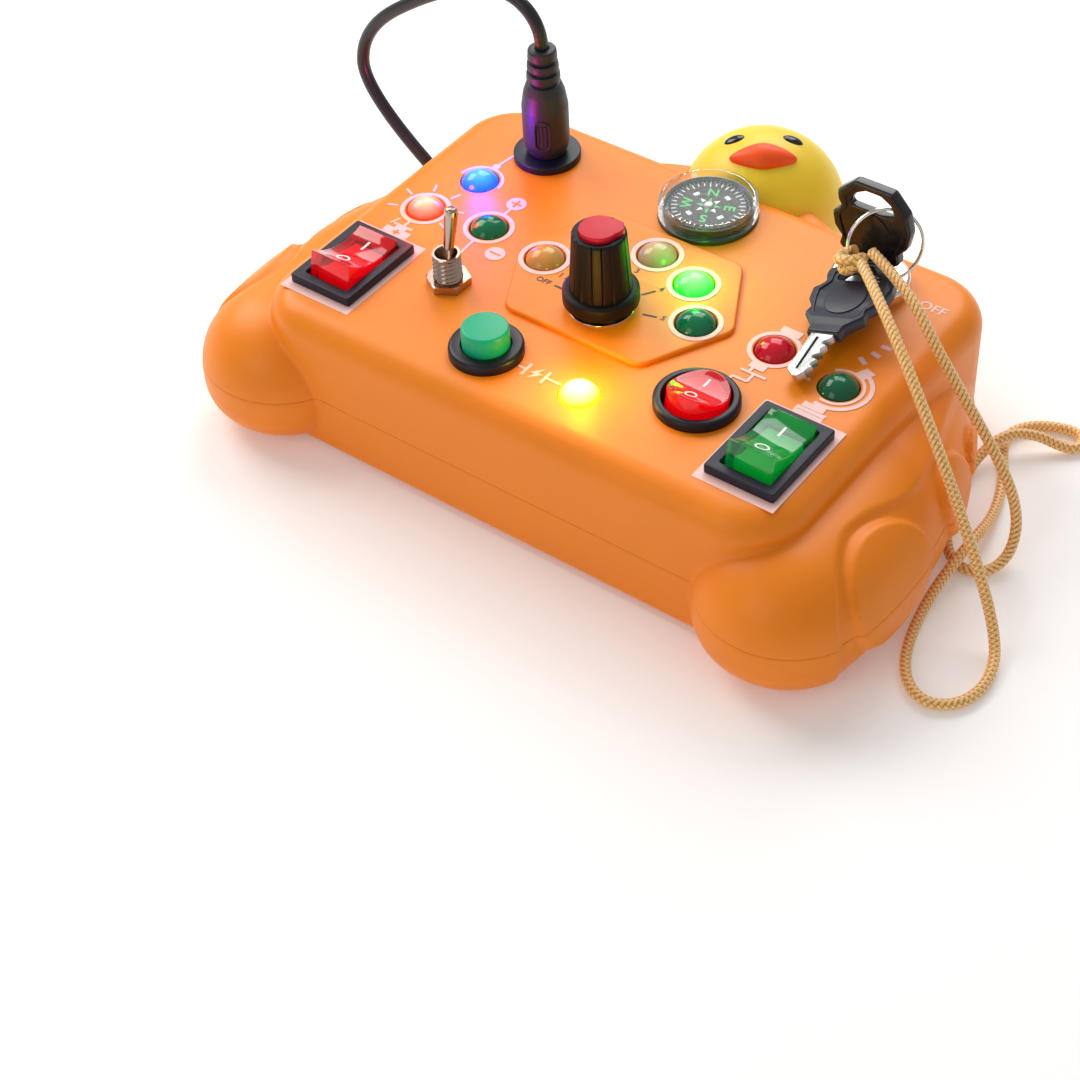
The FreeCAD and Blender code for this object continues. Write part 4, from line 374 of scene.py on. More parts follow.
def make_materials(colours):
    """Every finish of the board, by the name of what wears it."""
    orange = tuple(colours.housing)
    subsurface = {"Subsurface_Weight": 0.1, "Subsurface_Radius": (2.5, 0.9, 0.4), "Subsurface_Scale": MM}
    MATERIALS.update({
        # Moulded ABS with a satin spark finish gives broad soft highlights and a warm edge glow
        "housing": moulded("ABS moulded satin orange", orange, 0.42, mottle=0.05, Specular_IOR_Level=0.4,
                           **subsurface),
        # The door is moulded apart and looks a shade darker than the shells
        "door": moulded("ABS moulded satin orange door", tuple(c * 0.94 for c in orange[:3]) + (1.0,), 0.42),
        # Printed ink sits flat and a little glossier than the shell
        "print": moulded("Pad-printed ink pale pink", tuple(colours.print_tone), 0.4, 0.2, 0.002, 0.05),
        # Black ink is dull and turns bluish beside the orange
        "print_black": moulded("Pad-printed ink black", linear("20242E"), 0.45, 0.2, 0.002, 0.1),
        # White ink on caps and cards is a thin, bright and even film
        "print_white": moulded("Pad-printed ink white", linear("FFFFFF"), 0.35, 0.2, 0.001, 0.02),
        # Green ink stands out clear on the black card
        "print_green": moulded("Pad-printed ink green", linear("37D25A"), 0.4, 0.2, 0.001, 0.05),
        # Soft vinyl shows a smooth skin with a slight glow from inside
        "duck": moulded("Vinyl moulded yellow", tuple(colours.duck), 0.42, 0.5, 0.004, 0.08,
                        Subsurface_Weight=0.25, Subsurface_Radius=(3.0, 1.8, 0.4), Subsurface_Scale=MM),
        # The beak is the same vinyl, with a broad soft shine
        "beak": moulded("Vinyl moulded orange red", linear("FA5410"), 0.42, 0.5, 0.003, 0.06,
                        Specular_IOR_Level=0.35),
        # Enamel paint dries glossy, so each eye carries a sharp point of light
        "eye": moulded("Enamel paint gloss black", linear("121214"), 0.12, 0.6, 0.001, 0.1),
        # Glass-filled nylon is dark blue black with a dull, finely pitted skin
        "switch": moulded("Nylon moulded blue black", linear("161829"), 0.45, 0.22, 0.012, 0.12,
                          Specular_IOR_Level=0.35),
        # Black ABS is smoother than the nylon and shows a sheen on its edges
        "ring_black": moulded("ABS moulded blue black", linear("12141F"), 0.36, 0.25, 0.006, 0.12,
                              Specular_IOR_Level=0.35),
        # Clear tinted polycarbonate is glossy and lets the light into its edges
        "rocker_red": moulded("Polycarbonate moulded red", linear("E4142C"), 0.08, 1.5, 0.004, 0.1,
                              Transmission_Weight=0.8, IOR=1.5, Coat_Weight=0.1, Coat_Roughness=0.05),
        "rocker_green": moulded("Polycarbonate moulded green", linear("0CB060"), 0.08, 1.5, 0.004, 0.1,
                                Transmission_Weight=0.8, IOR=1.5, Coat_Weight=0.1, Coat_Roughness=0.05),
        # The coloured core inside a cap glows with painted light, which stands in for the light it throws
        # back through the cap; no lamp lights it
        "core_red": moulded("ABS moulded red core", linear("F03040"), 0.5, 0.5, 0.004, 0.06,
                            Emission_Color=linear("FF1028"), Emission_Strength=0.5),
        "core_green": moulded("ABS moulded green core", linear("20D070"), 0.5, 0.5, 0.004, 0.06,
                              Emission_Color=linear("08D050"), Emission_Strength=0.4),
        # A satin cap keeps its colour even over the flat top
        "button": moulded("ABS moulded teal green", tuple(colours.button), 0.34, 0.4, 0.003, 0.06,
                          Specular_IOR_Level=0.35),
        # Black phenolic has a brown cast where the light catches its flutes
        "knob": moulded("Phenolic moulded black brown", linear("120E10"), 0.46, 0.3, 0.008, 0.2,
                        Specular_IOR_Level=0.22),
        # The crimson cap is satin and lightens only at its rounded rim
        "knob_cap": moulded("ABS moulded crimson", linear("CE0C2A"), 0.4, 0.4, 0.003, 0.06,
                            Specular_IOR_Level=0.3),
        # Soft PVC is dull and slightly pitted
        "plug": moulded("PVC moulded black", linear("26242C"), 0.45, 0.35, 0.01, 0.15),
        # An extruded sheath is smooth and carries one long thin highlight
        "cable": moulded("PVC extruded black sheath", linear("1C1A1C"), 0.34, 0.8, 0.006, 0.15),
        # The hanging key's bow is slate blue with a half-glossy face
        "bow": moulded("ABS moulded slate black", linear("262B3C"), 0.3, 0.35, 0.01, 0.15),
        # The upright key's bow is browner and glossier
        "bow_dark": moulded("ABS moulded brown black", linear("1B1719"), 0.22, 0.35, 0.008, 0.2),
        # Rubber swallows the light and has hardly a highlight
        "foot": moulded("Rubber moulded black", linear("1A1A1A"), 0.8, 0.4, 0.02, 0.15),
        # Lacquered epoxy laminate is deep green and half glossy
        "board": moulded("Epoxy laminate green", linear("10502A"), 0.4, 0.4, 0.006, 0.1),
        # A cell's printed steel can has a dim, smooth shine
        "wrap": moulded("Printed steel can grey", linear("30343C"), 0.3, 0.4, 0.002, 0.08),
        # Chrome mirrors the orange deck round it
        "chrome": plated("Chrome plate bright", linear("E6E2DE"), 0.08),
        # Nickel over brass is warmer and softer than chrome
        "toggle_metal": plated("Nickel plate over brass", linear("B9A394"), 0.16),
        # Milled nickel silver has fine lines along the blade
        "nickel": plated("Nickel silver milled", linear("C9CCCE"), 0.3, 0.2, 0.004, (1.0, 0.2, 1.0)),
        # The floor of a blade's groove lies in shade
        "groove": plated("Nickel silver groove in shade", linear("3A3A3E"), 0.5),
        # Zinc plate is pale and half dull
        "steel": plated("Zinc plate on steel", linear("B4B4B8"), 0.3),
        # The braid sparkles in small crossings over a warm brown ground
        # The braid's small crossings carry a painted highlight on their crowns over painted brown shade where
        # they dive under
        "braid": braided("Polyester braided gold", tuple(colours.cord_tone)),
        # Hard polystyrene is glossy and here nearly black
        "compass_base": moulded("Polystyrene moulded dark green", linear("0B3B26"), 0.15, 0.8, 0.003, 0.15,
                                Coat_Weight=0.5, Coat_Roughness=0.05),
        # A printed card is matt, so that only its marks show
        "card": moulded("Printed card matt black", linear("0A1418"), 0.5, 0.2, 0.002, 0.3),
        # Clear polystyrene catches the light at its rim and stays empty in between
        "clear": moulded("Polystyrene moulded clear", linear("F4FAFA"), 0.03, 3.0, 0.002, 0.01,
                         Transmission_Weight=1.0, IOR=1.3, Alpha=0.5, Specular_IOR_Level=0.5),
        # The flat lid is thin enough to show little but a faint sheen
        "lid": moulded("Polystyrene moulded clear lid", linear("F4FAFA"), 0.05, 3.0, 0.002, 0.01,
                       Alpha=0.07, Specular_IOR_Level=0.3),
        # An unlit lens is deep in colour, with painted shade deepest at its rim and a faint painted glow, as
        # it is no lamp
        "lamp_red": lens("Polystyrene lens red", linear("D80E2C")),
        "lamp_green": lens("Polystyrene lens green", linear("0E7C50")),
        "lamp_deep_green": lens("Polystyrene lens deep green", linear("0A6440")),
        "lamp_clear": lens("Polystyrene lens clear", linear("D9B98A")),
        "lamp_amber": lens("Polystyrene lens amber", linear("E0A050")),
        # A lit lens burns pale in the middle and saturates towards its rim
        "lit_red": lens("Polystyrene lens red lit", linear("FF2A08"), 1.9, "FFB49C"),
        "lit_blue": lens("Polystyrene lens blue lit", linear("0840FF"), 2.2, "4898FF"),
        "lit_green": lens("Polystyrene lens green lit", linear("10E030"), 1.5, "A0FF90"),
        "lit_yellow": lens("Polystyrene lens yellow lit", linear("FFD800"), 2.4, "FFFFC8"),
    })


def link_object(name, data):
    made = bpy.data.objects.new(name, data)
    bpy.context.scene.collection.objects.link(made)
    return made


def mesh_of(data):
    """The mesh that an object's data and modifiers give, in its own units."""
    made = link_object("draft", data) if not isinstance(data, bpy.types.Object) else data
    depsgraph = bpy.context.evaluated_depsgraph_get()
    mesh = bpy.data.meshes.new_from_object(made.evaluated_get(depsgraph))
    bpy.data.objects.remove(made)
    return mesh


def dress_node(node, finish):
    """Give one of the frame's own pieces its finish."""
    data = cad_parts[node].data
    data.materials.clear()
    data.materials.append(MATERIALS[finish])


def as_mesh(bm):
    """A bmesh as mesh data, with its faces turned outward."""
    mesh = bpy.data.meshes.new("form")
    bmesh.ops.recalc_face_normals(bm, faces=bm.faces)
    bm.to_mesh(mesh)
    bm.free()
    return mesh


def as_bmesh(mesh, keep=False):
    """Mesh data as a bmesh; the data goes, unless it is used again."""
    bm = bmesh.new()
    bm.from_mesh(mesh)
    if not keep:
        bpy.data.meshes.remove(mesh)
    return bm


def settle(name, mesh, material, body="housing", stands_for=(), sharp=35.0):
    """Finish a piece: bring it into the part's frame, smooth it, dress it and set it on its body."""
    if isinstance(mesh, bmesh.types.BMesh):
        mesh = as_mesh(mesh)
    mesh.name = name
    mesh.transform(Matrix.Scale(MM, 4) @ Matrix.Translation((0, SHIFT_Y, 0)))
    mesh.shade_smooth()
    mesh.set_sharp_from_angle(angle=math.radians(sharp))
    mesh.materials.clear()
    mesh.materials.append(MATERIALS[material])
    made = link_object(name, mesh)
    if body:
        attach(made, body)
    if stands_for:
        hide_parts(*stands_for)
    return made


def gather(forms):
    """One bmesh of several."""
    whole = bmesh.new()
    for form in forms:
        mesh = as_mesh(form)
        whole.from_mesh(mesh)
        bpy.data.meshes.remove(mesh)
    return whole


def rounded(points, closed, steps=5):
    """Corners of a line rounded by arcs; a point's third value is its radius."""
    made = []
    count = len(points)
    for i, point in enumerate(points):
        here = Vector(point[:2])
        radius = point[2] if len(point) > 2 else 0.0
        if radius <= 0 or (not closed and i in (0, count - 1)):
            made.append(tuple(here))
            continue
        into = (Vector(points[i - 1][:2]) - here).normalized()
        out = (Vector(points[(i + 1) % count][:2]) - here).normalized()
        half = into.angle(out) / 2
        reach = radius / math.tan(half)
        start = here + into * reach
        end = here + out * reach
        centre = here + (into + out).normalized() * (radius / math.sin(half))
        a = math.atan2(*(start - centre).yx)
        turn = (math.atan2(*(end - centre).yx) - a + math.pi) % (2 * math.pi) - math.pi
        for s in range(steps + 1):
            angle = a + turn * s / steps
            made.append(tuple(centre + Vector((math.cos(angle), math.sin(angle))) * radius))
    return made


def lathe(profile, x=0.0, y=0.0, steps=96, closed=False, wave=None):
    """Turn a profile of radius, height and corner radius about a vertical axis. wave(angle, height)
    is added to each radius."""
    line = rounded(profile, closed)
    bm = bmesh.new()
    rings = []
    for radius, height in line:
        if radius < 1e-6:
            rings.append([bm.verts.new((x, y, height))])
            continue
        ring = []
        for i in range(steps):
            angle = 2 * math.pi * i / steps
            reach = radius + (wave(angle, height) if wave else 0.0)
            ring.append(bm.verts.new((x + reach * math.cos(angle), y + reach * math.sin(angle), height)))
        rings.append(ring)
    for low, high in zip(rings, rings[1:] + (rings[:1] if closed else [])):
        for i in range(steps):
            j = (i + 1) % steps
            corners = [low[i % len(low)], low[j % len(low)], high[j % len(high)], high[i % len(high)]]
            corners = list(dict.fromkeys(corners))
            if len(corners) > 2:
                bm.faces.new(corners)
    return bm


def circle(x, y, radius, steps=64, start=0.0, sweep=360.0):
    """Points of a circle, or of an arc with both of its ends; angles in degrees."""
    count = steps if sweep >= 360 else steps + 1
    return [(x + radius * math.cos(math.radians(start + sweep * i / steps)),
             y + radius * math.sin(math.radians(start + sweep * i / steps))) for i in range(count)]


def rectangle(x, y, width, height, corner=0.0):
    """Outline about a middle, its corners rounded by this radius."""
    points = [(x - width / 2, y - height / 2, corner), (x + width / 2, y - height / 2, corner),
              (x + width / 2, y + height / 2, corner), (x - width / 2, y + height / 2, corner)]
    return rounded(points, True)


def plate(loops, low, high, bevel=0.0, steps=3):
    """A flat piece between two heights with these outlines, its edges rounded."""
    data = bpy.data.curves.new("outline", "CURVE")
    data.dimensions = "2D"
    data.fill_mode = "BOTH"
    data.extrude = (high - low) / 2 - bevel
    data.bevel_depth = bevel
    data.bevel_resolution = steps
    data.offset = -bevel
    for loop in loops:
        spline = data.splines.new("POLY")
        spline.points.add(len(loop) - 1)
        for point, (px, py) in zip(spline.points, loop):
            point.co = (px, py, 0, 1)
        spline.use_cyclic_u = True
    bm = as_bmesh(mesh_of(data))
    bmesh.ops.remove_doubles(bm, verts=bm.verts, dist=0.0008)
    bmesh.ops.translate(bm, verts=bm.verts, vec=(0, 0, (low + high) / 2))
    return bm


def bar(start, end, width):
    """Outline of a straight stroke."""
    a, b = Vector(start), Vector(end)
    side = (b - a).orthogonal().normalized() * (width / 2)
    return [tuple(a + side), tuple(a - side), tuple(b - side), tuple(b + side)]


def letters(text, x, y, size, low, thickness, offset):
    """Plain lettering laid on a surface, its strokes widened by the offset."""
    data = bpy.data.curves.new("letters", "FONT")
    data.body = text
    data.size = size
    data.align_x = "CENTER"
    data.align_y = "CENTER"
    data.extrude = thickness / 2
    data.offset = offset
    mesh = mesh_of(data)
    mesh.transform(Matrix.Translation((x, y, low + thickness / 2)))
    bm = as_bmesh(mesh)
    bmesh.ops.remove_doubles(bm, verts=bm.verts, dist=0.0005)
    return bm


def extrude_side(profile, half_width, bevel):
    """A side view of y, z points drawn out along X, its edges rounded."""
    bm = bmesh.new()
    left = [bm.verts.new((-half_width, py, pz)) for py, pz in profile]
    right = [bm.verts.new((half_width, py, pz)) for py, pz in profile]
    bm.faces.new(left)
    bm.faces.new(right[::-1])
    for i in range(len(profile)):
        j = (i + 1) % len(profile)
        bm.faces.new((left[i], right[i], right[j], left[j]))
    bmesh.ops.recalc_face_normals(bm, faces=bm.faces)
    if bevel:
        edges = [e for e in bm.edges if e.calc_face_angle(0) > math.radians(30)]
        bmesh.ops.bevel(bm, geom=edges, offset=bevel, segments=3, affect="EDGES", profile=0.5,
                        clamp_overlap=True)
    return bm


def moved(bm, matrix):
    bmesh.ops.transform(bm, matrix=matrix, verts=bm.verts)
    return bm


def tube_along(points, radius, around, height=None):
    """A tube round a line of points. height(angle, distance) gives the relief and the painted light and shade
    of its crown.
    """
    bm = bmesh.new()
    crown = bm.verts.layers.float.new("crown")
    rings = []
    travel = 0.0
    side = None
    for i, point in enumerate(points):
        before = points[max(i - 1, 0)]
        after = points[min(i + 1, len(points) - 1)]
        along = (after - before).normalized()
        side = (along.orthogonal() if side is None else side - along * side.dot(along)).normalized()
        up = along.cross(side)
        travel += (point - before).length
        ring = []
        for j in range(around):
            angle = 2 * math.pi * j / around
            lift, tone = height(angle, travel) if height else (0.0, 0.5)
            vert = bm.verts.new(point + (side * math.cos(angle) + up * math.sin(angle)) * (radius + lift))
            vert[crown] = tone
            ring.append(vert)
        rings.append(ring)
    for low, high in zip(rings, rings[1:]):
        for j in range(around):
            k = (j + 1) % around
            bm.faces.new((low[j], low[k], high[k], high[j]))
    bm.faces.new(rings[0][::-1])
    bm.faces.new(rings[-1])
    return bm


def spline_points(route):
    """Points read from a NURBS spline along a cord's route, in deck millimetres."""
    data = bpy.data.curves.new("route", "CURVE")
    data.dimensions = "3D"
    data.resolution_u = 24
    spline = data.splines.new("NURBS")
    spline.points.add(len(route) - 1)
    for point, place in zip(spline.points, route):
        point.co = (*place, 1)
    spline.order_u = 3
    spline.use_endpoint_u = True
    mesh = mesh_of(data)
    points = [v.co.copy() for v in mesh.vertices]
    bpy.data.meshes.remove(mesh)
    return points


def evenly(points, step):
    """A line's points set the same distance apart."""
    line = np.array([tuple(p) for p in points])
    gone = np.concatenate([[0], np.cumsum(np.linalg.norm(np.diff(line, axis=0), axis=1))])
    at = np.linspace(0, gone[-1], max(2, int(gone[-1] / step)))
    return [Vector([np.interp(d, gone, line[:, k]) for k in range(3)]) for d in at]


def braid_relief(strand):
    """Two families of strands that pass over and under each other round the cord."""
    def height(angle, travel):
        turn = angle / (2 * math.pi) * BRAID_STRANDS
        one = travel / strand + turn / 2
        other = travel / strand - turn / 2
        on_top = (math.floor(one) + math.floor(other)) % 2 == 0
        across = (other if on_top else one) % 1.0
        crest = math.sin(math.pi * across) ** 0.7
        # The crest also gives each strand's painted highlight and painted shade
        return BRAID_RELIEF * (crest - 0.6), crest
    return height


def ring_axes():
    """Two directions in the key ring's plane and the one across it."""
    level = Vector((0, 1, 0)).cross(RING_CHORD)
    other = level * math.cos(RING_SWING) - Vector((0, 1, 0)) * math.sin(RING_SWING)
    return RING_CHORD, other, RING_CHORD.cross(other)


def spare_frame():
    """Where the spare key lies: a matrix from the upright key's own coordinates."""
    chord, other, normal = ring_axes()
    spoke = chord * math.cos(SPARE_HOLE_ANGLE) + other * math.sin(SPARE_HOLE_ANGLE)
    hole = RING_CENTRE + spoke * RING_RADIUS
    along = (hole - SPARE_TIP).normalized()
    face = (Vector((0, 0, 1)) - along * along.z).normalized()
    face = face * math.cos(SPARE_ROLL) + along.cross(face) * math.sin(SPARE_ROLL)
    columns = Matrix((along.cross(face), -face, along)).transposed().to_4x4()
    return Matrix.Translation(SPARE_TIP + along * BLADE_TIP) @ columns


def rounded_meet(a, b, radius):
    """Distance to what lies within both, its edge rounded."""
    beyond = np.hypot(np.maximum(a + radius, 0), np.maximum(b + radius, 0))
    return beyond - radius + np.minimum(np.maximum(a, b) + radius, 0)


def soft_union(a, b, reach):
    """Distance to either of two forms, with a soft valley where they meet."""
    share = np.maximum(reach - np.abs(a - b), 0) / reach
    return np.minimum(a, b) - share * share * reach / 4


def ease(value, low, high):
    """0 below low and 1 above high, with a smooth way between."""
    share = np.clip((value - low) / (high - low), 0, 1)
    return share * share * (3 - 2 * share)


def recess_x(y):
    """Where the sunken side of a grip begins: its line smoothed, and led on straight at both ends."""
    line = np.array(RECESS_LINE)
    knots = np.linspace(0, 1, len(line))
    fine = np.linspace(0, 1, 200)
    half = 12
    window = np.hanning(2 * half + 1)
    smooth = []
    for k in range(2):
        raw = np.interp(fine, knots, line[:, k])
        padded = np.concatenate([2 * raw[0] - raw[half:0:-1], raw, 2 * raw[-1] - raw[-2:-half - 2:-1]])
        smooth.append(np.convolve(padded, window / window.sum(), "valid"))
    xs, ys = smooth
    x = np.interp(y, ys, xs)
    x = np.where(y > ys[-1], xs[-1] + RECESS_BACK_SLOPE * (y - ys[-1]), x)
    return np.where(y < ys[0], xs[0] + RECESS_FRONT_SLOPE * (y - ys[0]), x)


def housing_distance(p, blend):
    """How far points are outside the housing: deck, grips and hump run into each other softly."""
    x, y, z = np.abs(p[:, 0]), p[:, 1], p[:, 2]
    qx, qy = x - (HALF_WIDTH - DECK_CORNER), np.abs(y) - (HALF_DEPTH - DECK_CORNER)
    plan = np.hypot(np.maximum(qx, 0), np.maximum(qy, 0)) + np.minimum(np.maximum(qx, qy), 0) - DECK_CORNER
    deck = np.maximum(rounded_meet(plan, z - DECK_TOP, DECK_EDGE), rounded_meet(plan, BASE_Z - z, BASE_EDGE))
    horn = np.hypot(x - HORN_X, y - HORN_Y) - HORN_RADIUS
    side = np.maximum(np.hypot(x - GRIP_X, y - GRIP_MIDDLE_Y) - GRIP_RADIUS, y - GRIP_BACK_Y)
    side = np.maximum(side, HORN_X - HORN_RADIUS - x)
    turn = math.radians(HORN_TURN)
    past_horn = (x - GRIP_X) * math.sin(turn) + (y - GRIP_MIDDLE_Y) * math.cos(turn)
    grip = np.where(past_horn < 0, horn, side)
    grip = np.maximum(rounded_meet(grip, z - GRIP_TOP, GRIP_TOP_EDGE),
                      rounded_meet(grip, BASE_Z - z, GRIP_BASE_EDGE))
    grip = grip + sunken(x, y, z)
    disc = np.hypot(x, y - HUMP_Y) - HUMP_RADIUS
    disc = np.maximum(rounded_meet(disc, z - HUMP_TOP, HUMP_EDGE), rounded_meet(disc, BASE_Z - z, BASE_EDGE))
    whole = soft_union(soft_union(deck, grip, blend), disc, HUMP_BLEND)
    return np.maximum(whole, BASE_Z - z)


def sunken(x, y, z):
    """Depth of the sunken side of a grip, with raised ovals standing in it."""
    line = recess_x(y)
    slope = (recess_x(y + 0.5) - recess_x(y - 0.5))
    inside = (x - line) / np.sqrt(1 + slope ** 2)
    depth = RECESS_DEPTH * ease(inside, -RECESS_EASE, RECESS_EASE) * ease(z, *RECESS_FOOT)
    across = z * math.cos(OVAL_TILT) - x * math.sin(OVAL_TILT) - OVAL_LEVEL
    for middle, half_width, half_height in OVALS:
        edge = (np.hypot((y - middle) / half_width, across / half_height) - 1) * min(half_width, half_height)
        pad = ease(-edge, -OVAL_EASE, OVAL_EASE)
        depth = depth * (1 - pad) - pad * OVAL_RISE
    return depth


def loft(levels, bm):
    """A closed form through outlines of equal count, each at its height."""
    loops = [[bm.verts.new((px, py, height)) for px, py in loop] for loop, height in levels]
    bm.faces.new(loops[0][::-1])
    bm.faces.new(loops[-1])
    for low, high in zip(loops, loops[1:]):
        for i in range(len(low)):
            j = (i + 1) % len(low)
            bm.faces.new((low[i], low[j], high[j], high[i]))


def grip_outline(inset, side):
    """A grip seen from above: its long arc, its horn and the way back inside the deck."""
    back = math.degrees(math.asin((GRIP_BACK_Y - GRIP_MIDDLE_Y) / GRIP_RADIUS))
    points = circle(GRIP_X, GRIP_MIDDLE_Y, GRIP_RADIUS - inset, 32, back, -HORN_TURN - back)
    points += circle(HORN_X, HORN_Y, HORN_RADIUS - inset, 24, -HORN_TURN, HORN_TURN - 180)[1:]
    points.append((HORN_X - HORN_RADIUS + inset, GRIP_BACK_Y))
    return [(side * px, py) for px, py in points][::-side]


def housing_skin(sizes):
    """A smooth closed skin of the whole housing, as a mesh in deck millimetres. Crude stacked outlines
    give an even grid near the surface, and each of its points is then moved onto the real one."""
    bm = bmesh.new()
    loft([(rectangle(0, 0, 2 * (HALF_WIDTH - i), 2 * (HALF_DEPTH - i), DECK_CORNER - i), z)
          for i, z in ((1.5, 1), (0, 3), (0, 27.5), (1.6, 31.4), (5.0, 33))], bm)
    for side in (1, -1):
        loft([(grip_outline(i, side), z) for i, z in ((6.0, 1), (2.0, 3.5), (0, 9.6), (0, 11.2), (2.1, 19),
                                                      (5.3, 23), (9.1, 25.5), (14.5, 27))], bm)
    loft([(circle(0, HUMP_Y, HUMP_RADIUS - i, 160), z)
          for i, z in ((1.5, 1), (0, 3), (0, 26.5), (2.5, 29.5))], bm)
    draft = link_object("skin", as_mesh(bm))
    remesh = draft.modifiers.new("grid", "REMESH")
    remesh.mode = "VOXEL"
    remesh.voxel_size = sizes.skin_grid / MM
    mesh = mesh_of(draft)
    places = np.empty(len(mesh.vertices) * 3)
    mesh.vertices.foreach_get("co", places)
    places = places.reshape(-1, 3)
    blend = sizes.blend / MM
    step = 0.02
    for _ in range(6):
        away = housing_distance(places, blend)
        slopes = np.stack([(housing_distance(places + step * np.eye(3)[k], blend) - away) / step
                           for k in range(3)], 1)
        steep = np.maximum((slopes ** 2).sum(1), 0.3)
        places -= np.clip(away / steep, -1.5, 1.5)[:, None] * slopes
    mesh.vertices.foreach_set("co", places.ravel())
    return mesh


def half_skin(mesh, upper, gap):
    """The part of the skin above or below the seam, closed, with a softened edge along it."""
    bm = as_bmesh(mesh, keep=True)
    way = 1 if upper else -1
    level = SEAM_Z + way * gap / 2
    for height, clear in ((level + way * SEAM_CHAMFER_HEIGHT, False), (level, True)):
        geometry = bm.verts[:] + bm.edges[:] + bm.faces[:]
        bmesh.ops.bisect_plane(bm, geom=geometry, dist=1e-4, plane_co=(0, 0, height), plane_no=(0, 0, way),
                               clear_inner=clear)
    rim = [e for e in bm.edges if e.is_boundary]
    bm.normal_update()
    for vert in {v for e in rim for v in e.verts}:
        outward = Vector((vert.normal.x, vert.normal.y, 0)).normalized()
        vert.co -= outward * SEAM_CHAMFER
    bmesh.ops.holes_fill(bm, edges=rim)
    return as_mesh(bm)


def combined(mesh, tool, operation):
    """One closed mesh cut by another, or made into one with it."""
    draft = link_object("draft", mesh)
    other = link_object("tool", tool)
    modifier = draft.modifiers.new("boolean", "BOOLEAN")
    modifier.operation = operation
    modifier.solver = "MANIFOLD"
    modifier.object = other
    made = mesh_of(draft)
    bpy.data.objects.remove(other)
    return made


def drum(x, y, radius, low, high, steps=64):
    """A plain cylinder between two heights."""
    return lathe([(0, low), (radius, low), (radius, high), (0, high)], x, y, steps)


def block(x, y, width, depth, low, high):
    """A plain box about a middle, between two heights."""
    bm = bmesh.new()
    outline = rectangle(x, y, width, depth)
    loft([(outline, low), (outline, high)], bm)
    return bm


def lamp_places():
    """Name, x, y and seat height of each lamp."""
    places = []
    for i, name in enumerate(DIAL_LAMPS):
        angle = math.radians(18 + 36 * i)
        places.append(("dial_" + name, DIAL[0] + DIAL_LAMP_REACH * math.cos(angle),
                       DIAL[1] + DIAL_LAMP_REACH * math.sin(angle), PLATEAU))
    return places + [(name, x, y, DECK_TOP) for name, (x, y) in DECK_LAMPS.items()]


def deck_cutters():
    """What the controls take out of the deck, each from below it to above it."""
    low, high = 25.0, 36.0
    cuts = [drum(x, y, LAMP_RADIUS + LAMP_GAP, low, high) for name, x, y, seat in lamp_places()]
    cuts += [block(x, y, 13.1, 19.0, low, high) for x, y in (RED_ROCKER, GREEN_ROCKER)]
    for (x, y), radius in ((ROUND_ROCKER, 7.4), (TOGGLE, 3.05), (BUTTON, 5.9), (DIAL, DIAL_HOLE),
                           (JACK, 5.7), (LOCK, 6.4)):
        cuts.append(drum(x, y, radius, low, high))
    cuts.append(drum(*COMPASS, 10.3, DECK_TOP - 1.2, high))
    return cuts


class BUSYBOARD_OT_stage(bpy.types.Operator):
    """Make the pale floor, the studio lights and the camera"""

    bl_idname = "busyboard.stage"
    bl_label = "Stage"

    def execute(self, context):
        scene = context.scene
        floor = bpy.data.meshes.new("floor")
        floor.from_pydata([(-3, -3, 0), (3, -3, 0), (3, 3, 0), (-3, 3, 0)], [], [(0, 1, 2, 3)])
        # White paper is matt; its tooth is drawn at 2 mm, coarser than real, so that it shows
        material, tree, shader = start_material("Paper sweep white", {
            "Roughness": 0.9, "Emission Color": linear("FFFFFF"), "Emission Strength": 0.12})
        place = add(tree, "ShaderNodeTexCoord").outputs["Object"]
        tooth = add(tree, "ShaderNodeTexNoise", {"Vector": place, "Scale": 1 / (2 * MM), "Detail": 2.0})
        tone = add(tree, "ShaderNodeMapRange", {"Value": tooth.outputs["Fac"], "To Min": 0.93,
                                                "To Max": 0.96})
        tree.links.new(tone.outputs["Result"], shader.inputs["Base Color"])
        floor.materials.append(material)
        link_object("floor", floor)
        world = bpy.data.worlds.new("studio")
        world.use_nodes = True
        world.node_tree.nodes["Background"].inputs["Color"].default_value = linear("FFFFFF")
        world.node_tree.nodes["Background"].inputs["Strength"].default_value = 0.42
        scene.world = world
        scene.view_settings.view_transform = "Standard"
        # Name, place, side in metres, power in watts and tint of each softbox
        lights = (("softbox left", (-0.56, 0.06, 0.5), 0.42, scene.board_sizes.key_light, "FFF8F2"),
                  ("softbox back", (-0.2, 0.52, 0.5), 0.5, 3.2, "FFFFFF"),
                  ("softbox front", (-0.1, -0.75, 0.5), 0.4, 1.0, "FFF6EE"))
        for name, place, size, power, tint in lights:
            light = bpy.data.lights.new(name, "AREA")
            light.size = size
            light.energy = power
            light.color = linear(tint)[:3]
            made = link_object(name, light)
            made.location = place
            made.rotation_euler = (Vector(place) - Vector((0, 0, 0.02))).to_track_quat("Z", "Y").to_euler()
        camera = bpy.data.cameras.new("camera")
        camera.sensor_width = CAMERA_SENSOR
        camera.lens = CAMERA_LENS
        camera.clip_start = 0.01
        made = link_object("camera", camera)
        made.location = placed(CAMERA_PLACE)
        made.rotation_euler = [math.radians(a) for a in CAMERA_TURN]
        scene.camera = made
        return {"FINISHED"}


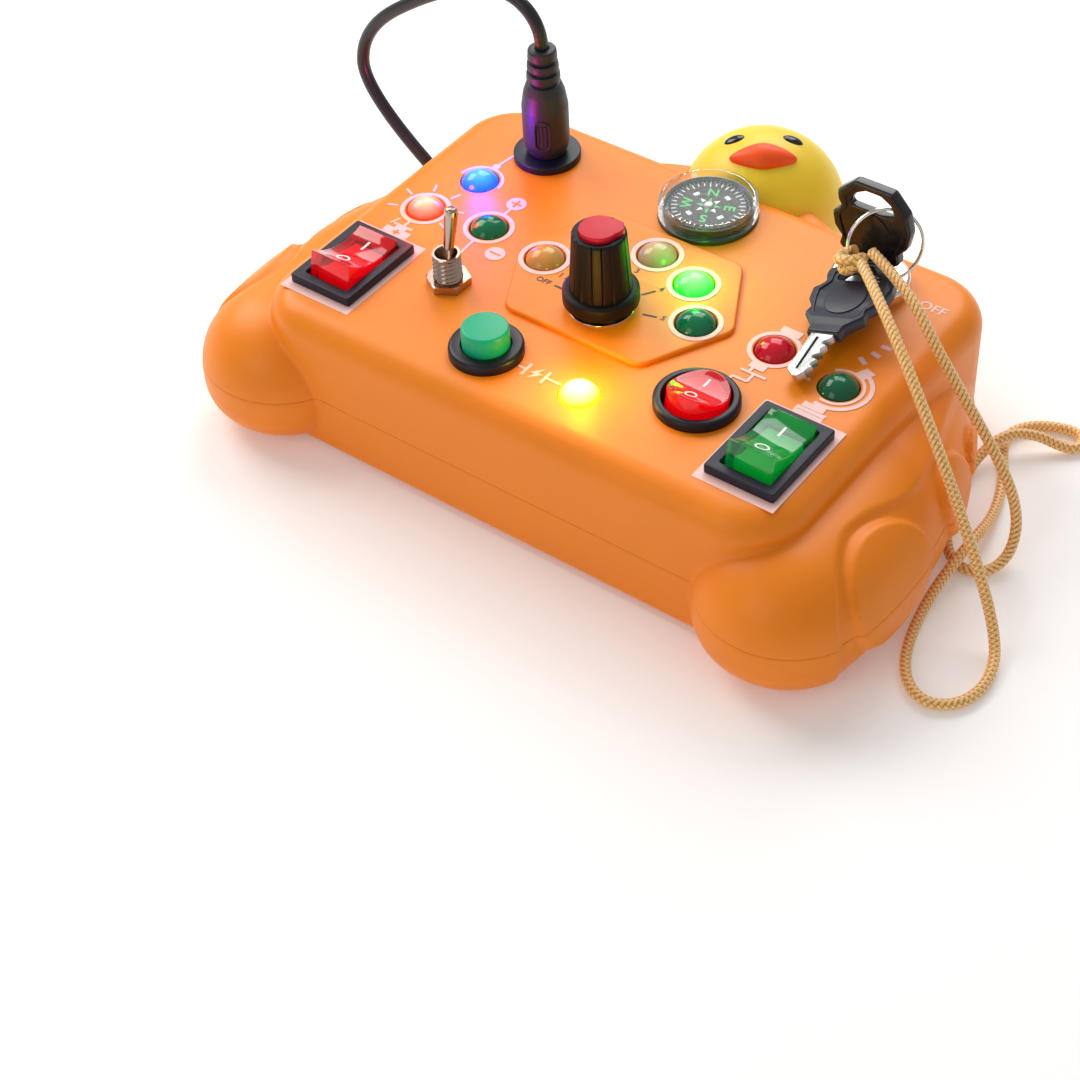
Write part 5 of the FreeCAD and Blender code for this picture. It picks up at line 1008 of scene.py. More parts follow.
class BUSYBOARD_OT_cords(bpy.types.Operator):
    """Lay the power lead and the braided cord with its hitch"""

    bl_idname = "busyboard.cords"
    bl_label = "Cords"

    def execute(self, context):
        path = evenly(spline_points(CABLE_ROUTE[::-1]), 0.5)
        cable = settle("cable_sheath", tube_along(path, CABLE_RADIUS, 32), "cable", None,
                       ["cable"], 80)
        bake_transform(cable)
        strand = context.scene.board_sizes.strand / MM
        path = evenly(spline_points(LANYARD_ROUTE), 0.22)
        tube = tube_along(path, LANYARD_RADIUS - 0.04, 24, braid_relief(strand))
        cord = settle("lanyard_braid", tube, "braid", stands_for=["lanyard"], sharp=80)
        knot = self.hitch(strand)
        return {"FINISHED"}

    def hitch(self, strand):
        """Two turns of the cord round the ring with a bight across them."""
        chord, outward, normal = ring_axes()
        tangent = normal.cross(outward)
        centre = RING_CENTRE + outward * RING_RADIUS
        turn = RING_HALF + LANYARD_RADIUS + 0.06
        line = []
        for i in range(49):
            share = i / 48
            angle = math.radians(-150 + 300 * abs(2 * share - 1))
            beside = 1.05 * max(-1, min(1, (share - 0.5) * 7))
            lift = 1.3 * max(0.0, 1 - abs(share - 0.5) * 7)
            radial = outward * math.cos(angle) + normal * math.sin(angle)
            line.append(centre + tangent * beside + radial * (turn + lift))
        tube = tube_along(evenly(line, 0.2), LANYARD_RADIUS, 24, braid_relief(strand))
        return settle("lanyard_hitch", tube, "braid", "ring", ["lanyard_knot"], 80)


class BUSYBOARD_OT_housing(bpy.types.Operator):
    """Mould the two shells and the raised hexagon"""

    bl_idname = "busyboard.housing"
    bl_label = "Housing"

    def execute(self, context):
        sizes = context.scene.board_sizes
        skin = housing_skin(sizes)
        gap = sizes.seam / MM
        above_bay = block(0, BAY_Y, 59.0, 31.4, 10, 18.2)
        upper = combined(half_skin(skin, True, gap), as_mesh(gather(deck_cutters() + [above_bay])),
                         "DIFFERENCE")
        settle("housing_top", upper, "housing", stands_for=["top_shell"], sharp=32)
        bay = as_mesh(block(0, BAY_Y, 58.0, 30.4, -1, 16))
        others = [block(0, BAY_Y, 61.5, 33.9, -1, 2.2), block(0, DOOR_SCREW_Y - 0.6, 10.3, 8.0, -1, 2.2),
                  drum(0, DOOR_SCREW_Y, 1.4, 0, 10)]
        for other in others + [drum(x, y, 2.7, -1, 4.0) for x, y in FEET]:
            bay = combined(bay, as_mesh(other), "UNION")
        lower = combined(half_skin(skin, False, gap), bay, "DIFFERENCE")
        settle("housing_bottom", lower, "housing", stands_for=["bottom_shell"],
               sharp=32)
        loops = [rounded(HEXAGON, True, 8)]
        loops += [circle(x, y, LAMP_RADIUS + LAMP_GAP, 48)
                  for name, x, y, seat in lamp_places() if seat == PLATEAU]
        loops.append(circle(*DIAL, DIAL_HOLE, 48))
        settle("hexagon_plateau", plate(loops, DECK_TOP - 0.4, PLATEAU, 0.55, 4), "housing",
               sharp=50)
        return {"FINISHED"}


class BUSYBOARD_OT_duck(bpy.types.Operator):
    """Shape the duck's head with its eyes and beak"""

    bl_idname = "busyboard.duck"
    bl_label = "Duck"

    def execute(self, context):
        bm = bmesh.new()
        bmesh.ops.create_uvsphere(bm, u_segments=96, v_segments=64, radius=HEAD_RADIUS)
        moved(bm, Matrix.Translation(HEAD))
        for vert in bm.verts:
            away = Vector((vert.co.x - COMPASS[0], vert.co.y - COMPASS[1]))
            if away.length < COMPASS_HOLLOW and vert.co.z < DECK_TOP + 5.5:
                away = away.normalized() * COMPASS_HOLLOW
                vert.co.x, vert.co.y = COMPASS[0] + away.x, COMPASS[1] + away.y
        settle("duck_head_skin", bm, "duck", stands_for=["duck_head"], sharp=60)
        forward = Vector((math.sin(HEAD_TURN), -math.cos(HEAD_TURN), 0))
        right = Vector((math.cos(HEAD_TURN), math.sin(HEAD_TURN), 0))
        eyes = bmesh.new()
        for side in (-1, 1):
            out = (right * (side * 6.1) - forward * 1.9 + Vector((0, 0, 16.35))).normalized()
            dome = self.seat(right, out, 0.35) @ Matrix.Diagonal((2.3, 1.6, 0.9, 1))
            bmesh.ops.create_uvsphere(eyes, u_segments=40, v_segments=24, radius=1.0, matrix=dome)
        settle("duck_eyes_gloss", eyes, "eye", stands_for=["duck_eyes"], sharp=60)
        out = (forward * 4.6 + Vector((0, 0, math.sqrt(HEAD_RADIUS ** 2 - 4.6 ** 2)))).normalized()
        beak = bmesh.new()
        bmesh.ops.create_uvsphere(beak, u_segments=56, v_segments=32, radius=1.0)
        for vert in beak.verts:
            pinch = 1 - abs(vert.co.x) ** 1.6 * 0.45
            vert.co.y *= pinch
            vert.co.z *= pinch
        moved(beak, self.seat(right, out, 0.9) @ Matrix.Diagonal((7.0, 3.4, 3.0, 1)))
        settle("duck_bill", beak, "beak", stands_for=["duck_beak"], sharp=60)
        return {"FINISHED"}

    def seat(self, right, out, depth):
        """Where something sits on the head in this direction, sunk in by this depth."""
        across = (right - out * right.dot(out)).normalized()
        turn = Matrix((across, out.cross(across), out)).transposed().to_4x4()
        return Matrix.Translation(HEAD + out * (HEAD_RADIUS - depth)) @ turn


def bow_radius(half, dip):
    """Radius of the arc that dips this much over this half width."""
    return (half ** 2 + dip ** 2) / (2 * dip)


def dished(y, half, end, dip):
    """Height of a dished cap's top, which stands at end where y is half and lies dip lower at 0."""
    bow = bow_radius(half, dip)
    return end - dip + bow - math.sqrt(bow ** 2 - y ** 2)


def cap_profile(half, end, dip, skirt):
    """Side view of a dished rocker cap about its pivot."""
    top = [(half * (1 - i / 8), dished(half * (1 - i / 8), half, end, dip)) for i in range(17)]
    return top + [(-half, -skirt / 3), (-half * 0.6, -skirt), (half * 0.6, -skirt), (half, -skirt / 3)]


class BUSYBOARD_OT_rockers(bpy.types.Operator):
    """Build the two rectangular rocker switches and the round one"""

    bl_idname = "busyboard.rockers"
    bl_label = "Rocker switches"

    def execute(self, context):
        for name, (x, y) in (("red", RED_ROCKER), ("green", GREEN_ROCKER)):
            well = rectangle(x, y, 10.7, 16.5, 0.4)
            bezel = plate([rectangle(x, y, 15.0, 21.0, 0.6), well], DECK_TOP, DECK_TOP + 2.0, 0.35)
            tub = plate([rectangle(x, y, 12.9, 18.8, 0.4), well], CASE_FLOOR, DECK_TOP + 0.2)
            floor = block(x, y, 12.9, 18.8, CASE_FLOOR, WELL_FLOOR)
            settle(name + "_rocker_bezel", gather([bezel, tub, floor]), "switch",
                   stands_for=[name + "_rocker_frame"])
            tilt = Matrix.Translation((x, y, DECK_TOP)) @ Matrix.Rotation(-ROCKER_TILT, 4, "X")
            cap = moved(extrude_side(cap_profile(7.5, 5.0, 2.1, 3.5), 5.0, 0.35), tilt)
            settle(name + "_rocker_lens", cap, "rocker_" + name, name + "_rocker",
                   [name + "_rocker_cap"])
            # Each core carries a painted glow through its cap
            core = extrude_side([(5.2, 0.6), (5.2, -1.0), (3.8, -2.8), (-3.8, -2.8), (-5.2, -1.0),
                                 (-5.2, 1.0), (0, 0.2)], 3.6, 0.2)
            settle(name + "_rocker_core", moved(core, tilt), "core_" + name, name + "_rocker")
            self.marks(name, tilt, 1.0, 3.4, 7.5, 5.0, 2.1)
        x, y = ROUND_ROCKER
        ring = lathe([(8.3, DECK_TOP), (8.3, DECK_TOP + 2.0, 0.8), (6.7, DECK_TOP + 2.0, 0.3),
                      (6.7, WELL_FLOOR), (0, WELL_FLOOR), (0, CASE_FLOOR), (7.3, CASE_FLOOR),
                      (7.3, DECK_TOP)], x, y, 96, True)
        settle("round_rocker_bezel", ring, "ring_black",
               stands_for=["round_rocker_frame"])
        tilt = Matrix.Translation((x, y, DECK_TOP)) @ Matrix.Rotation(-ROCKER_TILT, 4, "X")
        settle("round_rocker_lens", moved(self.round_cap(6.0, 4.4, 1.6, 2.6, 0.4), tilt), "rocker_red",
               "round_rocker", ["round_rocker_cap"])
        # The round core carries a painted glow through its cap
        settle("round_rocker_core", moved(self.round_cap(5.1, 2.4, 0.9, 2.0, 0.2), tilt), "core_red",
               "round_rocker")
        self.marks("round", tilt, 0.85, 2.7, 6.0, 4.4, 1.6)
        return {"FINISHED"}

    def round_cap(self, radius, end, dip, skirt, edge):
        """A round cap turned with a flat top, which is then bent to its dish."""
        flat = 3.0
        bm = lathe([(0, -skirt), (radius * 0.8, -skirt), (radius, -skirt * 0.5), (radius, flat, edge)]
                   + [(radius * share, flat) for share in (0.8, 0.6, 0.4, 0.2)] + [(0, flat)], 0, 0, 72)
        for vert in bm.verts:
            if vert.co.z > flat - 0.1 - edge:
                vert.co.z += dished(vert.co.y, radius, end, dip) - flat
        return bm

    def marks(self, name, tilt, scale, spread, half, end, dip):
        """A stroke and a ring printed on the dished top."""
        thick = 0.08
        stroke = plate([bar((0, spread - 1.3 * scale), (0, spread + 1.3 * scale), 0.45)], 0, thick)
        ring = plate([circle(0, -spread, 1.45 * scale, 40), circle(0, -spread, 1.05 * scale, 40)], 0, thick)
        bm = gather([stroke, ring])
        long_edges = [e for e in bm.edges if e.calc_length() > 1.0]
        bmesh.ops.subdivide_edges(bm, edges=long_edges, cuts=4)
        for vert in bm.verts:
            vert.co.z += dished(vert.co.y, half, end, dip) - 0.01
        settle(name + "_rocker_marks", moved(bm, tilt), "print_white", name + "_rocker")


class BUSYBOARD_OT_toggle(bpy.types.Operator):
    """Turn the toggle switch's threaded bush, nut and lever"""

    bl_idname = "busyboard.toggle"
    bl_label = "Toggle switch"

    def execute(self, context):
        x, y = TOGGLE
        low, top = DECK_TOP - 2.0, DECK_TOP + 7.5
        pitch = 1.0

        def thread(angle, height):
            """The thread's furrow. It is wider than a real one's half millimetre, so that it shows."""
            if not DECK_TOP + 0.3 < height < top - 0.35:
                return 0.0
            phase = (height / pitch - angle / (2 * math.pi)) % 1.0
            return -0.6 * abs(2 * phase - 1)

        rise = [(2.95, low + 0.1 * i) for i in range(94)]
        profile = rise + [(2.8, top), (2.3, top), (1.5, DECK_TOP + 5.2), (1.5, DECK_TOP - 1), (1.6, low)]
        bush = lathe(profile, x, y, 64, True, wave=thread)
        case = block(x, y, 8.0, 13.0, 20.8, DECK_TOP - 2.2)
        settle("toggle_bush", gather([bush, case]), "toggle_metal",
               stands_for=["toggle_body"], sharp=25)
        settle("toggle_hex_nut", self.nut(x, y), "toggle_metal",
               stands_for=["toggle_nut"], sharp=25)
        lean = Matrix.Translation((x, y, DECK_TOP + 4.0)) @ Matrix.Rotation(-ROCKER_TILT, 4, "X")
        stick = lathe([(0, -1.4), (1.0, -1.1, 0.5), (1.4, 0, 0.8), (1.05, 1.2, 0.5), (1.05, 2.0, 1.0),
                       (1.1, 4.0, 2.0), (1.4, 11.4, 0.8), (1.35, 12.6, 0.7), (0.8, 13.0, 0.3), (0, 13.0)],
                      0, 0, 48)
        settle("toggle_stick", moved(stick, lean), "toggle_metal", "toggle",
               ["toggle_lever"], 45)
        return {"FINISHED"}

    def nut(self, x, y):
        """A hexagon nut, 8 mm over its flats, whose corners are turned down to a crown."""
        flats = circle(x, y, 8.0 / math.sqrt(3), 6, 30)
        hexagon = plate([flats, circle(x, y, 2.98, 48)], DECK_TOP, DECK_TOP + 1.8)
        crown = lathe([(3.95, DECK_TOP + 1.9), (6.5, DECK_TOP + 0.7), (6.5, DECK_TOP + 3)], x, y, 96, True)
        return combined(as_mesh(hexagon), as_mesh(crown), "DIFFERENCE")


class BUSYBOARD_OT_button(bpy.types.Operator):
    """Turn the push button's ring and cap"""

    bl_idname = "busyboard.button"
    bl_label = "Push button"

    def execute(self, context):
        ring = lathe([(7.4, DECK_TOP), (7.4, DECK_TOP + 2.2, 0.9), (4.85, DECK_TOP + 2.2, 0.35), (4.85, 18.0),
                      (0, 18.0), (0, 15.0), (5.8, 15.0), (5.8, DECK_TOP)], *BUTTON, 112, True)
        settle("button_ring", ring, "ring_black", stands_for=["button_body"])
        cap = lathe([(0, 22.0), (2.2, 22.0), (2.2, 30.0), (4.7, 30.0), (4.7, DECK_TOP + 6.2, 0.7),
                     (0, DECK_TOP + 6.2)], *BUTTON, 112)
        settle("button_top", cap, "button", "push_button", ["button_cap"])
        return {"FINISHED"}


class BUSYBOARD_OT_dial(bpy.types.Operator):
    """Mould the fluted knob with its crimson cap"""

    bl_idname = "busyboard.dial"
    bl_label = "Dial"

    def execute(self, context):
        low, top = PLATEAU + 1.9, DECK_TOP + 19.0

        def flutes(angle, height):
            """Eighteen narrow grooves round the grip."""
            if not low + 3.2 < height < top + 0.1:
                return 0.0
            share = ((angle - POINTER) / (2 * math.pi) * 18) % 1.0
            return -0.24 * max(0.0, 1 - abs(share - 0.5) / 0.1) ** 0.7

        skirt = lathe([(0, low), (7.55, low, 0.25), (7.55, low + 2.5, 0.3), (6.9, low + 3.0, 0.3),
                       (6.3, low + 3.1), (0, low + 3.1)], *DIAL, 144)
        body = lathe([(0, low + 3.0), (6.2, low + 3.0), (6.18, low + 3.4), (6.0, low + 6), (5.7, low + 10),
                      (5.42, low + 14), (5.3, top, 0.5), (4.0, top, 0.15), (4.0, top - 1.2), (0, top - 1.2)],
                     *DIAL, 360, wave=flutes)
        for vert in body.verts:
            reach = math.hypot(vert.co.x - DIAL[0], vert.co.y - DIAL[1])
            if reach < 4.2 and vert.co.z > low + 4:
                scale = 4.0 / reach if reach > 3 else 1.0
                vert.co.x = DIAL[0] + (vert.co.x - DIAL[0]) * scale
                vert.co.y = DIAL[1] + (vert.co.y - DIAL[1]) * scale
        settle("knob_grip", gather([skirt, body]), "knob", "dial", ["knob"], 40)
        cap = plate([self.cap_outline()], top - 1.2, top + 1.1, 0.35, 4)
        place = Matrix.Translation((*DIAL, 0)) @ Matrix.Rotation(POINTER, 4, "Z")
        settle("knob_pointer", moved(cap, place), "knob_cap", "dial", ["knob_cap"])
        washer = plate([circle(*DIAL, 6.6, 64), circle(*DIAL, 3.55, 48)], PLATEAU, PLATEAU + 0.35, 0.1)
        settle("dial_washer", washer, "chrome")
        return {"FINISHED"}

    def cap_outline(self):
        """A disc with a blunt nose over the pointer side."""
        disc, nose = 3.85, 4.85
        points = []
        for i in range(96):
            angle = 2 * math.pi * i / 96
            off = min(angle, 2 * math.pi - angle)
            if off < math.radians(13):
                reach = nose / math.cos(off)
            else:
                reach = max(disc, 4.95 - 2.2 * (off - 0.227))
            points.append((reach * math.cos(angle), reach * math.sin(angle)))
        return points


class BUSYBOARD_OT_lamps(bpy.types.Operator):
    """Set the eleven lamp lenses, four of them lit"""

    bl_idname = "busyboard.lamps"
    bl_label = "Lamps"

    # Each lamp's finish and colour slot
    LENSES = {"dial_dark_green": ("lamp_green", "lamp_green"), "dial_green": ("lit_green", "lamp_green"),
              "dial_clear": ("lamp_clear", "lamp_clear"), "dial_red": ("lamp_red", "lamp_red"),
              "dial_amber": ("lamp_amber", "lamp_amber"), "left_red": ("lit_red", "lamp_red"),
              "left_blue": ("lit_blue", "lamp_blue"), "toggle_green": ("lamp_green", "lamp_green"),
              "yellow": ("lit_yellow", "lamp_amber"), "right_red": ("lamp_red", "lamp_red"),
              "right_green": ("lamp_deep_green", "lamp_green")}
    # The small light over each lit lamp: its colour and its power in watts
    GLOWS = {"left_red": ("FF2008", 0.03), "left_blue": ("0828FF", 0.016), "dial_green": ("10FF20", 0.006),
             "yellow": ("FFC400", 0.012)}

    def execute(self, context):
        radius = LAMP_RADIUS - LAMP_GAP
        dome = 2.3
        bow = bow_radius(radius, dome)
        angles = [math.asin(radius / bow) * (1 - i / 14) for i in range(14)]
        spots = {}
        for name, x, y, seat in lamp_places():
            spots[name] = (x, y, seat + 7)
            arc = [(bow * math.sin(a), seat + dome - bow + bow * math.cos(a)) for a in angles]
            profile = [(0, seat - 7), (radius, seat - 7), (radius, seat - 0.5)] + arc + [(0, seat + dome)]
            bm = lathe(profile, x, y, 72)
            # The core is 1 in the dome's middle and 0 at its rim and below: a lit lens glows from it, an
            # unlit one gets painted shade towards its rim
            core = bm.verts.layers.float.new("core")
            for vert in bm.verts:
                reach = math.hypot(vert.co.x - x, vert.co.y - y) / radius
                vert[core] = max(0.0, 1 - reach ** 1.4) if vert.co.z > seat - 0.6 else 0.0
            finish, slot = self.LENSES[name]
            settle("lens_" + name, bm, finish, stands_for=["lamp_" + name], sharp=50)
        for name, (tint, power) in self.GLOWS.items():
            light = bpy.data.lights.new("glow_" + name, "POINT")
            light.energy = power
            light.color = linear(tint)[:3]
            light.shadow_soft_size = 3 * MM
            link_object("glow_" + name, light).location = placed(spots[name])
        return {"FINISHED"}


class BUSYBOARD_OT_compass(bpy.types.Operator):
    """Build the clear-cased compass with its printed card"""

    bl_idname = "busyboard.compass"
    bl_label = "Compass"

    def execute(self, context):
        x, y = COMPASS
        base = lathe([(0, 31.8), (10.2, 31.8), (10.2, 34.0, 0.3), (8.6, 34.0), (8.6, 33.0), (0.5, 33.0),
                      (0.5, 35.6), (0, 35.9)], x, y, 112)
        settle("compass_base_cup", base, "compass_base", stands_for=["compass_case"])
        wall = lathe([(10.2, 34.05), (10.2, 37.4, 0.9), (9.1, 37.4, 0.3), (9.0, 36.1), (9.3, 34.05)],
                     x, y, 112, True)
        settle("compass_dome", wall, "clear", stands_for=["compass_lens"], sharp=40)
        settle("compass_lid", drum(x, y, 8.95, 36.1, 36.5, 96), "lid", sharp=40)
        chapter = lathe([(7.95, 34.1), (9.1, 34.1), (9.1, 35.9), (8.95, 35.9)], x, y, 96, True)
        settle("compass_chapter", chapter, "compass_base")
        foot = 7.95
        slope = (Matrix.Translation((foot, 0, COMPASS_LEDGE)) @ Matrix.Rotation(-math.atan2(1.8, 1.0), 4, "Y")
                 @ Matrix.Translation((-foot, 0, 0.02)))
        marks = []
        for i in range(60):
            inner, width = (8.5, 0.13) if i % 5 else (8.2, 0.22)
            stroke = plate([bar((inner, 0), (8.9, 0), width)], 0, MARK_THICKNESS)
            marks.append(moved(stroke, self.turned(6 * i, 0) @ slope))
        settle("compass_chapter_marks", gather(marks), "print_white")
        card = lathe([(0.6, 34.7), (7.85, 34.7, 0.1), (7.85, COMPASS_CARD_TOP, 0.1),
                      (0.6, COMPASS_CARD_TOP)], x, y, 96, True)
        settle("compass_card_disc", card, "card", "compass_card", ["compass_card"])
        ticks, greens = [], []
        for i in range(36):
            tick = plate([bar((6.6 if i % 3 else 6.2, 0), (7.5, 0), 0.22)], 0, MARK_THICKNESS)
            ticks.append(moved(tick, self.turned(10 * i)))
        for i, mark in enumerate(("N", "W", "S", "E")):
            straight, between = self.turned(90 * i + 20), self.turned(90 * i + 65)
            greens.append(moved(letters(mark, 0, 4.3, 3.2, 0, MARK_THICKNESS, 0.05), straight))
            arrow = plate([[(-0.5, 1.6), (0.5, 1.6), (0, 2.9)]], 0, MARK_THICKNESS)
            ticks.append(moved(arrow, between))
            arrow = plate([[(-0.45, 1.2), (0.45, 1.2), (0, 2.6)]], 0, MARK_THICKNESS)
            greens.append(moved(arrow, straight))
            ticks.append(moved(plate([rectangle(0, 4.6, 1.3, 0.9)], 0, MARK_THICKNESS - 0.01), between))
        settle("compass_card_white", gather(ticks), "print_white", "compass_card")
        settle("compass_card_green", gather(greens), "print_green", "compass_card")
        cap = lathe([(0, 35.95), (0.9, 35.75, 0.3), (1.1, 35.35), (0, 35.35)], x, y, 32)
        settle("compass_pivot_cap", cap, "steel", "compass_card")
        return {"FINISHED"}

    def turned(self, degrees, height=COMPASS_CARD_TOP):
        """A place over the compass's middle, turned about it; on the card's face unless told otherwise."""
        return Matrix.Translation((*COMPASS, height)) @ Matrix.Rotation(math.radians(degrees), 4, "Z")


class BUSYBOARD_OT_power(bpy.types.Operator):
    """Build the power socket, its plug and the lead's gland"""

    bl_idname = "busyboard.power"
    bl_label = "Power plug"

    def execute(self, context):
        x, y = JACK
        low = DECK_TOP + 1.6
        high = low + 15.5
        flange = lathe([(7.1, DECK_TOP), (7.1, low, 0.35), (2.85, low, 0.2), (2.85, 24.6), (0, 24.6),
                        (0, 21.0), (5.6, 21.0), (5.6, DECK_TOP)], x, y, 96, True)
        settle("jack_flange", flange, "ring_black", stands_for=["jack_socket"])
        grip = [(0, low), (3.9, low, 0.3), (4.5, low + 1.4, 0.8), (4.9, low + 3.2, 1.5),
                (4.9, high - 4.0, 2.0), (4.35, high - 0.6, 2.0), (3.6, high + 1.4, 0.5)]
        level = high + 1.6
        for i in range(3):
            width = 3.55 - 0.22 * i
            grip += [(width - 0.65, level, 0.1), (width - 0.65, level + 0.75, 0.1),
                     (width, level + 0.8, 0.25), (width - 0.12, level + 2.35, 0.25)]
            level += 2.4
        grip += [(2.9, PLUG_TOP, 0.6), (1.5, PLUG_TOP, 0.1), (1.4, PLUG_TOP - 0.6), (0, PLUG_TOP - 0.6)]
        pieces = [lathe(grip, x, y, 96)]
        quarter = math.radians(90)
        stand = (Matrix.Translation((4.72, 0, low + 6.6)) @ Matrix.Rotation(quarter, 4, "Y")
                 @ Matrix.Rotation(quarter, 4, "Z"))
        for angle in (-62, 118):
            place = Matrix.Translation((x, y, 0)) @ Matrix.Rotation(math.radians(angle), 4, "Z") @ stand
            border = plate([rectangle(0, 0, 3.4, 7.2, 1.6), rectangle(0, 0, 2.7, 6.5, 1.3)], 0, 0.42, 0.08)
            pieces.append(moved(border, place))
            for across in (-0.8, 0.0, 0.8):
                rib = plate([bar((across, -2.4), (across, 2.4), 0.35)], 0, 0.36, 0.08)
                pieces.append(moved(rib, place))
        settle("plug_grip", gather(pieces), "plug", "power_plug", ["dc_plug"], 40)
        dress_node("plug_barrel", "nickel")
        turn = GLAND_AXIS.to_track_quat("Z", "Y").to_matrix().to_4x4()
        gland = lathe([(1.42, -4.0), (2.6, -4.0), (2.6, -1.5), (3.7, -1.5, 0.3), (3.5, 1.0, 0.4),
                       (2.6, 2.2, 0.4), (2.2, 3.0, 0.3), (1.42, 3.0, 0.1)], 0, 0, 56, True)
        settle("lead_gland", moved(gland, Matrix.Translation(GLAND) @ turn), "plug",
               stands_for=["cable_gland"])
        return {"FINISHED"}


class BUSYBOARD_OT_lock(bpy.types.Operator):
    """Turn the key lock's plated bezel and plug"""

    bl_idname = "busyboard.lock"
    bl_label = "Key lock"

    def execute(self, context):
        x, y = LOCK
        top = DECK_TOP + 3.0
        bezel = lathe([(8.0, DECK_TOP), (8.0, top, 1.0), (5.27, top, 0.25), (5.27, 19.4), (0, 19.4),
                       (0, 18.0), (6.3, 18.0), (6.3, DECK_TOP)], x, y, 112, True)
        settle("lock_bezel", bezel, "chrome", stands_for=["lock_barrel"])
        slot_loop = rectangle(x, y, 5.12, 1.72, 0.2)
        face = plate([circle(x, y, 5.2, 72), slot_loop], 25.0, top, 0.15)
        stem = drum(x, y, 5.2, 19.6, 25.0, 72)
        settle("lock_face", gather([face, stem]), "nickel", "lock_cylinder", ["lock_plug"])
        return {"FINISHED"}


class BUSYBOARD_OT_keys(bpy.types.Operator):
    """Cut both keys and wind the split ring that joins them"""

    bl_idname = "busyboard.keys"
    bl_label = "Keys"

    def execute(self, context):
        self.key("key", Matrix.Translation(KEY_CENTRE), "bow_dark", "bow_brown", KEY_CUTS)
        self.key("spare_key", spare_frame(), "bow", "bow_slate", SPARE_CUTS)
        chord, other, normal = ring_axes()
        turns, rise, start = 1.88, 0.62, 0.4
        line = []
        for i in range(181):
            share = i / 180
            angle = start + 2 * math.pi * turns * share
            spoke = chord * math.cos(angle) + other * math.sin(angle)
            line.append(RING_CENTRE + spoke * RING_RADIUS + normal * (rise * (share - 0.5)))
        settle("split_ring", tube_along(line, 0.33, 16), "chrome", "ring", ["key_ring"], 60)
        return {"FINISHED"}

    def key(self, name, place, finish, slot, cuts):
        """One key on the body of its own name, drawn flat about its bow's middle and then stood up."""
        place = place @ Matrix.Rotation(math.radians(90), 4, "X")
        outline = rounded(BOW_OUTLINE, True)
        rim = [(px * 0.97, py * 0.97) for px, py in outline]
        forms = [plate([outline, rounded(BOW_HOLE, True)], -1.0, 1.0, 0.3)]
        for low, high in ((0.95, 1.3), (-1.3, -0.95)):
            forms.append(plate([rim, rounded(BOW_PANEL, True)], low, high, 0.15))
            forms.append(plate([circle(0, -2.6, 4.3, 56)], low, high - 0.05, 0.15))
        settle(name + "_bow_moulding", moved(gather(forms), place), finish, name, [name + "_bow"])
        half = 2.5
        points = [(-half, -NECK_END + 5.9), (-half, -BLADE_TIP + 1.6), (-0.6, -BLADE_TIP), (0.4, -BLADE_TIP)]
        level = -BLADE_TIP + 1.2
        for depth in cuts:
            points += [(half - depth, level), (half - depth, level + 0.6), (half - 0.2, level + 1.6)]
            level += 1.9
        points += [(half, -NECK_END - 0.2), (half, -NECK_END + 5.9)]
        groove = (-0.6, -NECK_END - 5.0)
        blade = plate([points, rectangle(*groove, 0.55, 8.6, 0.2)], -0.8, 0.8, 0.12)
        web = plate([rectangle(*groove, 0.9, 9.0)], -0.35, 0.35)
        settle(name + "_blade_cut", moved(blade, place), "nickel", name, [name + "_blade"])
        settle(name + "_blade_groove", moved(web, place), "groove", name)


